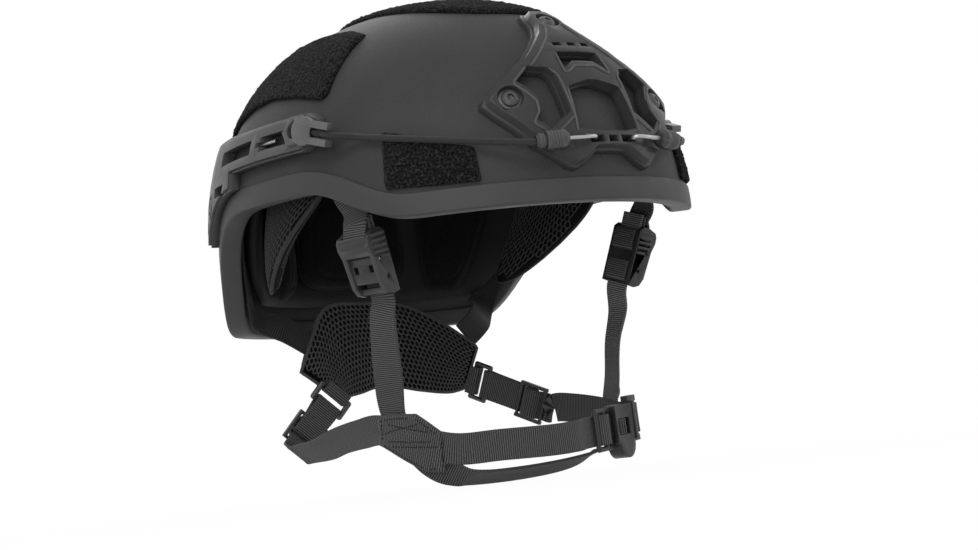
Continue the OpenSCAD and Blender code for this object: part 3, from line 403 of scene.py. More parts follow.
def make_paint(name, level):
    n = Finish(name, level, rough=0.62, spec=0.25)
    grain, specks = n.noise(1.5, 3.0), n.cells(1.1)
    c = n.tone(n.span(n.noise(0.03, 3.0), 0.3, 0.7), 0.93, 1.07)
    c = n.tone(n.span(specks, 0.05, 0.5, 0.35, 0.0), c, 1.45)
    height = n.math("MULTIPLY_ADD", specks, 0.7, n.math("MULTIPLY", grain, 0.8))
    return n.done(c, n.span(grain, 0.3, 0.7, 0.55, 0.72), height, 0.07, 0.7)


def make_plastic(name, level, rough=0.5, edge=1.6, depth=0.035, coat=0.0, spec=0.5):
    """Moulded plastic: grain, scuffs drawn along one way, and edges lightened to edge times the grey, as wear
    and as painted highlight.
    """
    n = Finish(name, level, rough=rough, spec=spec, coat=coat)
    grain, broad = n.noise(1 / 0.6), n.noise(0.09)
    scuff = n.noise(0.5, 5.0, 0.7, stretch=(1.0, 0.35, 2.2))
    c = n.tone(n.span(broad, 0.3, 0.7), 0.9, 1.1)
    # Convex edges lighter: partly wear, partly a painted highlight.
    c = n.tone(n.edges_worn_and_lit(0.505, 0.56, 0.75), c, edge)
    c = n.tone(n.span(scuff, 0.6, 0.75, 0.0, 0.35), c, 1.35)
    dull = n.span(broad, 0.3, 0.7, rough - 0.07, rough + 0.05)
    dull = n.math("ADD", dull, n.span(scuff, 0.55, 0.75, 0.0, 0.12))
    return n.done(c, dull, n.math("MULTIPLY_ADD", scuff, 0.3, grain), depth, 0.6)


def make_rubber(name, level):
    n = Finish(name, level, rough=0.55, spec=0.28)
    broad = n.noise(0.05)
    c = n.tone(n.span(broad, 0.3, 0.7), 0.92, 1.08)
    c = n.tone(n.span(n.noise(0.22, 5.0, 0.7), 0.62, 0.8, 0.0, 0.35), c, 1.5)
    return n.done(c, n.span(broad, 0.3, 0.7, 0.47, 0.6), n.noise(2.0, 3.0), 0.03, 0.6)


RIB, FLOAT = 1.14, 1.5      # pitch of the webbing's ribs along it, and of the floats across it


def make_webbing(name, level):
    """Ribs run across the strap, each cut into short floats that alternate from row to row."""
    n = Finish(name, level, rough=0.72, spec=0.15, sheen=0.1)
    u, s = n.lay()
    row = n.math("MULTIPLY", s, 1 / RIB)
    saw = n.math("FRACT", n.math("MULTIPLY_ADD", n.noise(0.9, 2.0), 0.12, row))
    rib = n.math("POWER", n.sine(saw, 1), 0.95)
    shift = n.math("MULTIPLY", n.math("FLOORED_MODULO", n.math("FLOOR", row), 2.0), 0.5)
    col = n.math("FRACT", n.math("ADD", n.math("MULTIPLY", u, 1 / FLOAT), shift))
    floats = n.math("POWER", n.sine(col, 1), 0.4)
    weave = n.math("MULTIPLY", rib, n.math("MULTIPLY_ADD", floats, 0.42, 0.58))
    fray = n.noise(2.4, 4.0, 0.7)
    tone = n.math("MULTIPLY_ADD", n.math("SUBTRACT", fray, 0.5), 0.55, weave)
    edge = n.span(n.math("ABSOLUTE", u), WEB_W * 0.435, WEB_W * 0.47, 0.0, 0.35)
    c = n.tone(edge, n.tone(n.span(tone, 0.2, 0.95), 0.16, 1.45), 0.75)
    height = n.math("MULTIPLY_ADD", fray, 0.18, weave)
    return n.done(c, n.span(weave, 0.0, 1.0, 0.85, 0.6), height, 0.25, 0.85)


def make_loop(name, level):
    """Fuzzy pile: pale curls over dark ground, thinner in broad spots."""
    n = Finish(name, level, rough=0.95, spec=0.04, sheen=0.06)
    curls, fine = n.cells(0.95, "SMOOTH_F1"), n.noise(2.6, 5.0, 0.75)
    pile = n.math("MULTIPLY_ADD", fine, 0.7, n.math("MULTIPLY", curls, 0.6))
    c = n.tone(n.span(pile, 0.45, 0.95), 0.12, 3.2)
    c = n.tone(n.span(n.noise(0.6, 3.0), 0.4, 0.7, 0.0, 0.3), c, 0.4)
    return n.done(c, None, n.math("MULTIPLY_ADD", fine, 0.9, curls), 0.8, 1.0)


def make_knit(name, level, rough=0.9):
    """The cloth of a pad, or its backing under a net."""
    n = Finish(name, level, rough=rough, spec=0.06, sheen=0.06)
    yarn = n.noise(1.6, 3.0, 0.6, stretch=(1.0, 0.4, 2.4))
    height = n.math("MULTIPLY_ADD", n.cells(0.9), 0.5, yarn)
    return n.done(n.tone(n.span(yarn, 0.35, 0.7), 0.5, 1.3), None, height, 0.25, 0.8)


def make_net(name, level):
    n = Finish(name, level, rough=0.75, spec=0.15, sheen=0.12)
    ply = n.noise(2.2, 4.0, 0.7)
    height = n.math("ADD", ply, n.noise(3.1, 2.0, 0.5, stretch=(1.7, 0.6, 1.0)))
    return n.done(n.tone(n.span(ply, 0.3, 0.75), 0.55, 1.5), None, height, 0.18, 0.8)


def make_braid(name, level):
    """Two sets of eight strands that cross round the cord."""
    n = Finish(name, level, rough=0.6, spec=0.35, sheen=0.1)
    a, s = n.lay()
    along = n.math("MULTIPLY", s, 0.75)
    plait = n.math("MAXIMUM", *(n.sine(n.math("MULTIPLY_ADD", a, k, along), 2) for k in (8.0, -8.0)))
    height = n.math("MULTIPLY_ADD", n.noise(2.8), 0.3, plait)
    return n.done(n.tone(n.span(plait, -0.2, 0.9), 0.35, 1.4), None, height, 0.12, 0.8)


def make_metal(name, level, rough, metal=1.0):
    n = Finish(name, level, rough=rough, metal=metal)
    brush = n.noise(1.4, 5.0, 0.7, stretch=(0.3, 1.0, 1.0))
    c = n.tone(n.span(n.noise(0.35, 4.0, 0.6), 0.35, 0.7), 0.85, 1.1)
    c = n.tone(n.edges_worn_and_lit(0.51, 0.57, 0.7), c, 1.9)
    return n.done(c, n.span(brush, 0.3, 0.7, rough - 0.08, rough + 0.12), brush, 0.02, 0.5)


def make_foam(name, level):
    n = Finish(name, level, rough=0.7, spec=0.25)
    c = n.tone(n.span(n.noise(0.06, 3.0), 0.3, 0.7), 0.8, 1.2)
    return n.done(c, None, n.cells(1.4), 0.15, 0.5)


PAINT = make_paint("shell_paint", 0.041)
TRIM = make_rubber("trim_rubber", 0.052)
# The edge factors below lighten eased edges, as wear and as painted highlight.
SHROUD = make_plastic("frame_plastic", 0.019, rough=0.34, edge=2.6, spec=0.2)
# The beads are a lighter copy of the shroud's plastic: a painted highlight along the raised rims.
RIM = make_plastic("frame_rims", 0.06, rough=0.34, edge=1.5, spec=0.25)
RAIL = make_plastic("rail_plastic", 0.05, rough=0.45, edge=1.7, spec=0.4)
BUCKLE = make_plastic("buckle_plastic", 0.024, rough=0.38, edge=2.4, depth=0.02, spec=0.28)
BUCKLE_DARK = make_plastic("buckle_plastic_dark", 0.013, rough=0.38, edge=2.4, depth=0.02, spec=0.28)
GLOSS = make_plastic("gloss_fork", 0.06, rough=0.28, edge=1.8, depth=0.01, coat=0.5)
GRIP = make_plastic("grip_rubber", 0.03, rough=0.4, edge=2.2, depth=0.03)
WEB = make_webbing("webbing", 0.085)
WEB_DARK = make_webbing("webbing_shadow", 0.03)
# A lighter copy of the webbing for the far lower strap: painted light where the lamps leave it in shade.
WEB_PAINTED_LIGHT = make_webbing("webbing_painted_light", 0.15)
LOOP = make_loop("loop_pile", 0.019)
KNIT = make_knit("pad_cloth", 0.011)
UNDER = make_knit("pad_backing", 0.004)
NET = make_net("pad_net", 0.04)
# A lighter copy of the pad net for the nape pad: painted light on a pad that sits in the shell's shade.
NAPE_NET_PAINTED_LIGHT = make_net("nape_net", 0.085)
BIND = make_knit("pad_binding", 0.016, 0.8)
BRAID = make_braid("bungee_braid", 0.02)
STEEL = make_metal("bare_steel", 0.24, 0.32)
BLACKED = make_metal("blacked_steel", 0.07, 0.4, metal=0.75)
FOAM = make_foam("liner_foam", 0.007)
THREAD = make_net("sewing_thread", 0.02)


# ---------------------------------------------------------------- shell and trim
TURN = np.concatenate([np.arange(0, 40, 2.5), np.arange(40, 150, 1.25), np.arange(150, 180, 2.5)])
TURN = np.unique(np.concatenate([TURN, 360 - TURN[1:], [180.0]]))


def bowl(name, turn, ks, outer, inner, edge_up, mat, lip=0.8):
    """Closed bowl with rounded lower lips; the last row is the crown point."""
    m = len(turn)
    verts, faces = [], []
    for off, sign in ((outer, 1), (inner, -1)):
        start, low = len(verts), rim(turn) + edge_up
        for i, k in enumerate(ks):
            cut = lip * (1 - min(1.0, i / 2.0)) ** 2
            z = low + (WIDE_Z + DOME + off - low) * np.sin(np.radians(90.0) * k)
            verts += list(skin(turn, z, off - sign * cut))
        top = len(verts)
        verts.append(skin(0, WIDE_Z + DOME + off, off))
        faces += grid_faces(len(ks), m, wrap=True, start=start, flip=sign < 0)
        for j in range(m):
            f = (top - m + j, top - m + (j + 1) % m, top)
            faces.append(f if sign > 0 else f[::-1])
    half = len(ks) * m + 1
    faces += [((j + 1) % m, j, j + half, (j + 1) % m + half) for j in range(m)]
    return clean(mesh(name, verts, faces, mat))


# Shares of the way up to the crown, and how far over the rim the liner stops.
KS = np.concatenate([[0, 0.006, 0.014], np.linspace(0.03, 0.985, 58)])
LINER_UP = 15
settle(bowl("shell_painted", TURN, KS, 0.0, INNER, 0.0, PAINT), "shell_coat", "shell")
settle(bowl("liner_foam_bowl", np.arange(0, 360, 4.0), np.linspace(0, 0.985, 30), LINER_OFF, PAD_OFF,
            LINER_UP, FOAM, lip=2.6), "foam", "impact_liner")


def trim_piece():
    """Channel over the rim: its section is (up from the rim, distance from the skin)."""
    lip = TRIM_T + SEAT
    hard = [(BAND, SEAT * 0.3), (BAND - 0.25, lip - 0.25), (BAND - 0.8, lip), (5, lip + 0.1), (0, lip),
            (-lip + 0.9, lip - 0.05), (-lip + 0.25, lip - 0.6), (-lip, lip - 1.5), (-lip - 0.05, INNER / 2),
            (-lip, INNER - lip + 1.5), (-lip + 0.25, INNER - lip + 0.6), (-lip + 0.9, INNER - lip + 0.05),
            (0, INNER - lip), (BAND - 3.6, INNER - lip), (BAND - 2.3, INNER - lip + 0.4),
            (BAND - 2, INNER - SEAT * 0.3), (-SEAT, INNER - SEAT * 0.3), (-SEAT, SEAT * 0.3)]
    turn = np.arange(0, 360, 1.5)
    verts = [above_rim(a, w, off) for a in turn for w, off in hard]
    return clean(mesh("trim_channel", verts, sheath(len(turn), len(hard), closed=True), TRIM))


settle(trim_piece(), "trim_rubber", "edge_trim")


# ---------------------------------------------------------------- loop patches
def round_poly(pts, r):
    """Corners rounded by about r, each with a curve of five points."""
    pts = np.asarray(pts, float)
    out = []
    m = len(pts)
    for i in range(m):
        a, b, c = pts[i - 1], pts[i], pts[(i + 1) % m]
        d0, d1 = unit(a - b), unit(c - b)
        half = math.acos(float(np.clip(d0 @ d1, -1, 1))) / 2
        cut = min(r / max(0.05, math.tan(half)), 0.45 * np.linalg.norm(a - b), 0.45 * np.linalg.norm(c - b))
        p, q = b + d0 * cut, b + d1 * cut
        for t in np.linspace(0, 1, 5):
            out.append((1 - t) ** 2 * p + 2 * t * (1 - t) * b + t * t * q)
    return np.array(out)


def inside(pts, poly):
    x, y = pts[:, 0], pts[:, 1]
    hit = np.zeros(len(pts), bool)
    for i in range(len(poly)):
        (x0, y0), (x1, y1) = poly[i - 1], poly[i]
        c = (y0 > y) != (y1 > y)
        with np.errstate(divide="ignore", invalid="ignore"):
            xi = (x1 - x0) * (y - y0) / (y1 - y0) + x0
        hit ^= c & (x < xi)
    return hit


def edge_dist(pts, poly):
    best = np.full(len(pts), 1e9)
    for i in range(len(poly)):
        a, b = poly[i - 1], poly[i]
        ab = b - a
        t = np.clip(((pts - a) @ ab) / (ab @ ab + 1e-12), 0, 1)
        best = np.minimum(best, np.linalg.norm(pts - (a + t[:, None] * ab), axis=1))
    return best


PATCH_TOP, PATCH_UNDER = SEAT + PATCH_T, 0.02       # distances of a patch's faces from the skin
FUZZ, RAGGED = 0.22, 0.12                           # scatter of the pile's height and of the cut edge


def patch(name, outline, to_skin, step):
    """A fuzzy patch: outline in a flat plane, to_skin puts flat points at an offset on the shell."""
    edge = resample(outline, step)
    edge = edge + rng.normal(0, RAGGED, edge.shape)
    lo, hi = edge.min(0), edge.max(0)
    gx, gy = np.meshgrid(np.arange(lo[0], hi[0], step), np.arange(lo[1], hi[1], step * 0.87))
    gx = gx + (np.arange(gx.shape[0]) % 2)[:, None] * step / 2
    pts = np.stack([gx.ravel(), gy.ravel()], 1)
    pts = pts[inside(pts, edge)]
    pts = pts[edge_dist(pts, edge) > step * 0.55]
    pts = pts + rng.uniform(-0.14, 0.14, pts.shape) * step
    ne = len(edge)
    res = delaunay_2d_cdt([Vector(p) for p in np.vstack([edge, pts])], [(i, (i + 1) % ne) for i in range(ne)],
                          [], 1, 1e-5)
    flat = np.array([tuple(v) for v in res[0]])
    tris = [f for f in res[2] if len(f) == 3]
    n, d = len(flat), edge_dist(flat, edge)
    lift = PATCH_TOP * (0.62 + 0.38 * np.clip(d / 1.4, 0, 1) ** 0.6)
    lift = lift + rng.normal(0, FUZZ, n) * np.clip(d / 1.0, 0.35, 1)
    verts = np.vstack([to_skin(flat, lift), to_skin(flat, np.full(n, PATCH_UNDER))])
    faces = [tuple(t) for t in tris] + [tuple(x + n for x in t[::-1]) for t in tris]
    sides = dict.fromkeys(p for t in tris for p in ((t[0], t[1]), (t[1], t[2]), (t[2], t[0])))
    faces += [(b, a, a + n, b + n) for a, b in sides if (b, a) not in sides]
    return clean(mesh(name, verts, faces, LOOP))


HALVINGS = 44


def solve(fn, want, lo, hi):
    """Bisects fn(t) = want elementwise, for fn that rises with t."""
    lo, hi = np.full(len(want), float(lo)), np.broadcast_to(np.asarray(hi, float), (len(want),)).copy()
    for _ in range(HALVINGS):
        mid = (lo + hi) / 2
        low = fn(mid) < want
        lo, hi = np.where(low, mid, lo), np.where(low, hi, mid)
    return (lo + hi) / 2


def crown_skin(p, off):
    """Puts flat points on the skin from above."""
    x, y = p[:, 0], p[:, 1]

    def back(z):
        up = (z - WIDE_Z) / (DOME + off)
        return y - BACK * up * up

    def fn(z):
        a = np.arctan2(-x, -back(z))
        return plan_r(a, off) * rise(a, z, off) * -1 + np.hypot(x, back(z))
    z = solve(fn, np.zeros(len(x)), 40, WIDE_Z + DOME + off)
    return skin(np.degrees(np.arctan2(-x, -back(z))), z, off)


TILT = math.radians(39)     # the temple patch is laid out flat to this direction


def temple_skin(p, off):
    """The distance along the flat direction falls as the angle grows, so its negative is solved for."""
    def fn(q):
        s = skin(q, p[:, 1], off)
        return s[:, 1] * math.sin(TILT) - s[:, 0] * math.cos(TILT)
    return skin(solve(fn, -p[:, 0], 5, 80), p[:, 1], off)


def side_skin(p, off):
    return skin(solve(lambda q: skin(q, p[:, 1], off)[:, 1], p[:, 0], 20, 165), p[:, 1], off)


def brow_skin(p, off):
    return skin(solve(lambda q: -skin(q, p[:, 1], off)[:, 0], -p[:, 0], -75, 75), p[:, 1], off)


def patch_pair(name, outline, to_skin, step, node):
    right, left = patch(name, outline, to_skin, step), mirrored(patch(name + "_b", outline, to_skin, step))
    settle(merged([right, left]), "loop", node)


ang = np.radians(np.arange(0, 360, 4))
oval = np.stack([43 * np.sign(np.cos(ang)) * np.abs(np.cos(ang)) ** 0.8,
                 -8.5 + 68.5 * np.sign(np.sin(ang)) * np.abs(np.sin(ang)) ** 0.8], 1)
settle(patch("crown_loop_patch", oval, crown_skin, 1.25), "loop", "crown_patch")

temple = np.array([[28.6, 11.8], [39, 12.4], [49.4, 13.9], [49.4, 43.5], [39, 36.6], [29.2, 29]])
temple = skin(temple[:, 0], temple[:, 1], 1)
temple = np.stack([temple[:, 0] * math.cos(TILT) - temple[:, 1] * math.sin(TILT), temple[:, 2]], 1)
patch_pair("temple_loop_patches", round_poly(temple, 2.2), temple_skin, 0.8, "temple_patches")

rear = np.array([[66, 66.8], [77.5, 72.7], [91, 76.6], [104, 76.3], [121, 72], [135, 66], [127, 106.5],
                 [110, 110.5], [90, 111.5], [68, 108.7], [58, 103]])
rear = skin(rear[:, 0], rear[:, 1], 1)
patch_pair("rear_loop_patches", round_poly(rear[:, 1:], 3.5), side_skin, 1.15, "rear_patches")


# ---------------------------------------------------------------- pads and their nets
def net(name, fn, size, cell, keep, mat, thick=1.25, aspect=1.0):
    """Knitted net: hexagon cells laid in flat millimetres, mapped by fn(s, t) on to a surface."""
    w, h = size
    py = cell * 0.866 * aspect
    radius = cell / math.sqrt(3)
    index, verts, faces = {}, [], []
    for j in range(int(h / py) + 2):
        for i in range(int(w / cell) + 2):
            cx, cy = i * cell + (j % 2) * cell / 2, j * py
            ids = []
            for k in range(6):
                a = math.radians(30 + 60 * k)
                q = (cx + radius * math.cos(a), cy + radius * math.sin(a) * aspect)
                key = (round(q[0], 2), round(q[1], 2))
                if key not in index:
                    index[key] = len(verts)
                    verts.append(q)
                ids.append(index[key])
            faces.append(ids)
    v = np.array(verts)
    ok = keep(v[:, 0], v[:, 1])
    faces = [f for f in faces if all(ok[i] for i in f)]
    used = sorted({i for f in faces for i in f})
    back = {i: n for n, i in enumerate(used)}
    ob = mesh(name, fn(v[used][:, 0], v[used][:, 1]), [[back[i] for i in f] for f in faces], mat)
    m = ob.modifiers.new("net", "WIREFRAME")
    m.thickness = thick * MM
    m.use_even_offset = False
    m.use_boundary = True
    s = ob.modifiers.new("round", "SUBSURF")
    s.levels = s.render_levels = 1
    apply_mods(ob)
    ob.data.shade_smooth()
    return ob


PAD_ROWS = 26


def cushion(name, segs, ring, centre, mat):
    """Closed pad of two domes: ring(s, front) is a row of points, centre(front) the middle point."""
    verts, faces = [], []
    for front in (True, False):
        start = len(verts)
        for s in 1 - (1 - np.linspace(0.04, 1, PAD_ROWS)) ** 1.5:
            verts += list(ring(s, front))
        mid = len(verts)
        verts.append(centre(front))
        faces += grid_faces(PAD_ROWS, segs, wrap=True, start=start, flip=not front)
        for j in range(segs):
            f = (mid, start + (j + 1) % segs, start + j)
            faces.append(f[::-1] if front else f)
    return clean(mesh(name, verts, faces, mat), WELD)


LOW, HIGH = PAD_OFF - PAD_T, PAD_OFF - PAD_GAP      # a comfort pad's two faces, from the skin
SQUARE = 4.0            # how square a pad's outline is
PULL = 2.0              # how far the edge of a pad draws in from the liner
NET_CELL, NAPE_CELL = 3.1, 3.0


def comfort_pad(name, corners, lo, mat, mirror=False, netted=False):
    """Crowned closed pad between two distances from the skin: flat on the liner, full on the head side.

    A netted pad has its net on both faces; a plain one has a few soft wrinkles instead.
    """
    c = np.asarray(corners, float)

    def at_uv(u, v, off):
        u, v = np.asarray(u)[..., None], np.asarray(v)[..., None]
        q = c[0] * (1 - u) * (1 - v) + c[1] * u * (1 - v) + c[2] * u * v + c[3] * (1 - u) * v
        return skin(q[..., 0], q[..., 1], off)

    def radial(u, v):
        return (np.abs(2 * u - 1) ** SQUARE + np.abs(2 * v - 1) ** SQUARE) ** (1 / SQUARE)

    def crown_off(u, v):
        s = np.clip(radial(u, v), 0, 1)
        full = (1 - s ** 3.2) ** 0.5
        seam = 0.9 * np.exp(-((s - 0.80) / 0.035) ** 2)
        slack = 0.0
        if not netted:
            warp = 1.7 * np.sin(5.0 * u + 3.0 * v + 0.6)
            slack = 0.75 * np.sin(9.0 * v + 6.0 * u + warp) + 0.5 * np.sin(17.0 * v - 8.0 * u + 2 * warp)
        return HIGH - PULL - (HIGH - PULL - lo) * full + seam * (s < 0.95) + slack * np.clip(1.1 - s, 0, 0.5)
    segs = 96
    th = np.radians(np.arange(segs) * 360 / segs)
    ux, vx = (np.sign(w) * np.abs(w) ** (2 / SQUARE) for w in (np.cos(th), np.sin(th)))

    def ring(s, front):
        u, v = (1 + s * ux) / 2, (1 + s * vx) / 2
        return at_uv(u, v, crown_off(u, v) if front else HIGH - PULL * s ** 9)

    def centre(front):
        return at_uv(0.5, 0.5, crown_off(np.array([0.5]), np.array([0.5]))[0] if front else HIGH)
    w = np.linalg.norm(at_uv(1, 0.5, lo) - at_uv(0, 0.5, lo))
    h = np.linalg.norm(at_uv(0.5, 1, lo) - at_uv(0.5, 0, lo))

    def head_face(s, t):
        return at_uv(s / w, t / h, crown_off(s / w, t / h) - 0.2)

    def shell_face(s, t):
        return at_uv(s / w, t / h, HIGH - PULL * np.clip(radial(s / w, t / h), 0, 1) ** 9 + 0.2)
    edge = at_uv((1 + 0.985 * ux) / 2, (1 + 0.985 * vx) / 2, HIGH - PULL)
    obs = [cushion(name, segs, ring, centre, mat),
           tube(name + "_binding", edge, 1.1, NET if netted else BIND, segs=10, closed=True)]
    if netted:
        obs += [net(name + end, fn, (w, h), NET_CELL, lambda s, t: radial(s / w, t / h) < 0.97, NET)
                for end, fn in (("_net", head_face), ("_net_back", shell_face))]
    if mirror:
        obs = [merged([o, mirrored(linked(o.name + "_b", o.data.copy()))]) for o in obs]
    return obs


def pad_set(node, *groups, fill=0.7):
    """Each group is a pad's cushion, its binding and its nets."""
    body = settle(merged([g[0] for g in groups]), "mesh", node)
    settle(merged([g[1] for g in groups]), "mesh")
    nets = [o for g in groups for o in g[2:]]
    if nets:
        settle(merged(nets), "mesh")


pad_set("front_pad", comfort_pad("front_comfort_pad", [[-24, 16], [24, 16], [22, 58], [-22, 58]], LOW, KNIT))
pad_set("side_pads", comfort_pad("side_comfort_pads", [[72, 26], [136, -30], [113, 42], [84, 62]], LOW + 2,
                                 UNDER, mirror=True, netted=True))
pad_set("rear_pads",
        comfort_pad("rear_comfort_pads", [[143, -22], [155, -20], [154, 44], [126, 46]], LOW + 1, KNIT,
                    mirror=True),
        comfort_pad("rear_middle_pad", [[160, -14], [200, -14], [198, 40], [162, 40]], LOW + 1, KNIT))


def crown_comfort():
    """Oval pad under the crown, hung from the dome's inner face."""
    floor_of = CROWN + PAD_OFF - SEAT - PAD_T - 0.6
    segs = 90
    th = np.radians(np.arange(segs) * 360 / segs)

    def pt(x, y, h):
        return np.stack([x, BACK + y, floor_of + h - (x * x + y * y) / 215], -1)

    def ring(s, front):
        x, y = 44 * s * np.cos(th), 52 * s * np.sin(th)
        if not front:
            return pt(x, y, PAD_T - PAD_T * 0.45 * s ** 7)
        full = PAD_T * 0.55 * (1 - np.clip(1 - s ** 3.0, 0, 1) ** 0.5)
        seam = 0.8 * np.exp(-((s - 0.78) / 0.03) ** 2)
        slack = 0.55 * np.sin(0.13 * x + 0.2 * y) * np.cos(0.11 * x - 0.07 * y + 1.0) * max(0.0, 0.9 - s)
        return pt(x, y, full + seam + slack)
    edge = pt(43.5 * np.cos(th), 51.5 * np.sin(th), np.full(segs, PAD_T * 0.55))
    return [cushion("crown_comfort_pad", segs, ring, lambda front: pt(0, 0, 0.0 if front else PAD_T), KNIT),
            tube("crown_comfort_binding", edge, 1.25, BIND, segs=10, closed=True)]


pad_set("crown_pad", crown_comfort())

# The nape pad's upper and lower edge, from the wearer's right to the left.
PAD_TOPS = [[-60.5, 73.0, -63.5], [-47.5, 79.0, -44], [-33, 84, -27.5], [-5, 88, -25.7], [21, 84, -29],
            [39, 68, -43.5], [46, 50, -58]]
PAD_LOWS = [[-33.5, 73.6, -81], [-27, 81, -79], [-14, 86, -77], [4, 87.5, -74], [22, 77, -79], [33, 65, -82],
            [38, 56, -81]]


def nape_piece():
    a, b = smooth(PAD_TOPS, 14), smooth(PAD_LOWS, 14)
    mids, up = (a + b) / 2, (a - b) / 2
    side = unit(np.cross(headings(mids), up))
    run = run_of(mids)
    total = run[-1]

    def half(s, q):
        """Half thickness at run s and height q from -1 to 1: full in the middle, thin at every edge."""
        ends = np.clip(np.minimum(s, total - s) / 9.0, 0, 1)
        ends = 0.32 + 0.68 * np.sqrt(1 - (1 - ends) ** 2)
        rows = 0.22 + 0.78 * (1 - np.abs(q) ** 3.4) ** 0.55
        seam = 1 - 0.28 * np.exp(-((np.abs(q) - 0.86) / 0.035) ** 2)
        ripple = 1 + 0.05 * np.sin(s * 0.37 + 1.3 * q) * (1 - np.abs(q))
        return NAPE_T / 2 * ends * rows * seam * ripple

    def surf(s, q, face, lift=0.0):
        out = unit(sample(s, run, side))
        return (sample(s, run, mids) + sample(s, run, up) * np.asarray(q)[..., None]
                + out * (face * (half(s, q) + lift))[..., None])
    qs = np.sin(np.radians(np.linspace(-90, 90, 31)))
    verts = []
    for s in run:
        sa = np.full(len(qs), s)
        verts += list(surf(sa, qs, 1.0)) + list(surf(sa, qs[::-1], -1.0))
    body = clean(mesh("nape_cushion", verts, sheath(len(run), 2 * len(qs)), UNDER))
    tall = float(np.linalg.norm(up, axis=1).mean() * 2)

    def held(s, t):
        return (s > 0.2) & (s < total - 0.2) & (t > 0) & (t < tall)
    # The nape's nets and binding take the lighter net, as painted light.
    nets = []
    for face in (1.0, -1.0):
        def fn(s, t, face=face):
            q = np.clip((t - 1.0) / (tall - 2.0) * 2 - 1, -1, 1)
            return surf(np.clip(s, 0, total), q, np.full(np.shape(s), face), 0.2)
        nets.append(net("nape_net_%d" % (face > 0), fn, (total, tall), NAPE_CELL, held, NAPE_NET_PAINTED_LIGHT,
                        thick=1.2, aspect=0.92))
    ones = np.ones(len(run))
    edge = np.vstack([surf(run, ones, ones), surf(run[::-1], -ones, ones)])
    band = tube("nape_binding", resample(edge, 2.0), 0.95, NAPE_NET_PAINTED_LIGHT, segs=10, closed=True)
    return [body, band, merged(nets)]


pad_set("nape_pad", nape_piece(), fill=0.6)


# ---------------------------------------------------------------- harness
# A frame is an origin and three axes, the third out of the piece's face. An adjuster's run across the
# webbing and along it; the buckle's, the fork's and a slide's run along it and across it.
def frame_of(o, y, z0):
    y = unit(y)
    z0 = np.asarray(z0, float)
    z = unit(z0 - (z0 @ y) * y)
    return np.asarray(o, float), np.cross(y, z), y, z


def square(o, along):
    x = unit(along)
    z = unit(np.cross(x, [0, 0, 1]))
    return np.asarray(o, float), x, np.cross(z, x), z


def at(f, p):
    return f[0] + p[0] * f[1] + p[1] * f[2] + p[2] * f[3]


ADJ_R = frame_of([-93.2, -55.2, -19], [-0.24, -0.06, 0.97], [-1, -0.18, 0])
ADJ_L = frame_of([95, -35, -18], [0.2, -0.28, 0.94], [1, 0, 0])
BUCKLE_F = square([30, -74, -113.7], [0.93, 0.36, 0.06])
# The wearer's right nape slide lies in a plane of its own: K_WIDE runs across the webbing there.
K_WIDE = unit([0.764, 0, -0.645])
K_UP = np.array([0.645, 0, 0.764])
K_FROM = np.array([-68.3, 55, -108.6])
RING_R_U, RING_L_U = 18.5, 34.0     # from each nape slide to its ring


def in_k(y, n):
    return K_FROM + np.array([0, y, 0]) + n * K_UP


SL_O = in_k(22.5, 15)
SL_U = unit(in_k(17.8, 38) - SL_O)
SLIDE_R = (SL_O, SL_U, -K_WIDE, -np.cross(K_WIDE, SL_U))
GU = unit([-0.276, 0.877, 0.391])       # from the left tri-glide to its ring
DOWN = np.array([0, 0, -1.0])
GW = unit(DOWN - (DOWN @ GU) * GU)
GLIDE_L = (np.array([52, 13, -93.6]), GU, GW, np.cross(GU, GW))


def place(f, uv):
    return f[0] + uv[0] * f[1] + uv[1] * f[3]


def looped(u):
    """Round the slide's first bar, on to the ring at u, back and over the slide's middle."""
    return [(1.5, 1.55), (0, 2.15), (-1.55, 1.5), (-2.15, 0), (-1.5, -1.6), (0.6, -2.35), (4, -3.2),
            (8.2, -3.85), (u - 6, -4.9), (u - 1, -5.6), (u + 1.87, -4.82), (u + 2.65, -2.95),
            (u + 1.87, -1.08), (u - 1, -0.3), (u - 6, -1.2), (8.2, -2.05), (6, -0.9), (4.6, 1.3),
            (2.6, 3.3), (0, 4), (-2.6, 3.3), (-4.6, 1.3), (-6, -0.9), (-8.2, -2.05), (-12, -2.2)]


# The upper strap's turn round an adjuster's bar and the lower strap's run over it, in its frame.
UPPER_TURN = [(0, 23, -0.7), (0, 18, -0.7), (0, 14.2, -0.55), (0, 11.5, 0.3), (0, 10.75, 2), (0, 11.5, 3.8),
              (0, 14, 4.5), (0, 18, 3), (0, 22, 1.25)]
LOWER_RUN = [(0, 24, -3.1), (0, 14, -3.05), (0, 0, -3.05), (0, -12, -3.05), (0, -20, -3.05)]


def upper(adj, near, high, side):
    """Strap from the turn in the adjuster up under the liner; side is its width there."""
    return ([at(adj, p) for p in UPPER_TURN] + [skin(*near)] + [skin(a, z, INNER - 3.2) for a, z in high],
            [adj[1]] * (len(UPPER_TURN) + 1) + [np.array(side)] * 3)


def lower(adj, points, sides):
    """Strap from the adjuster down to its end."""
    return [at(adj, p) for p in LOWER_RUN] + points, [adj[1]] * len(LOWER_RUN) + sides


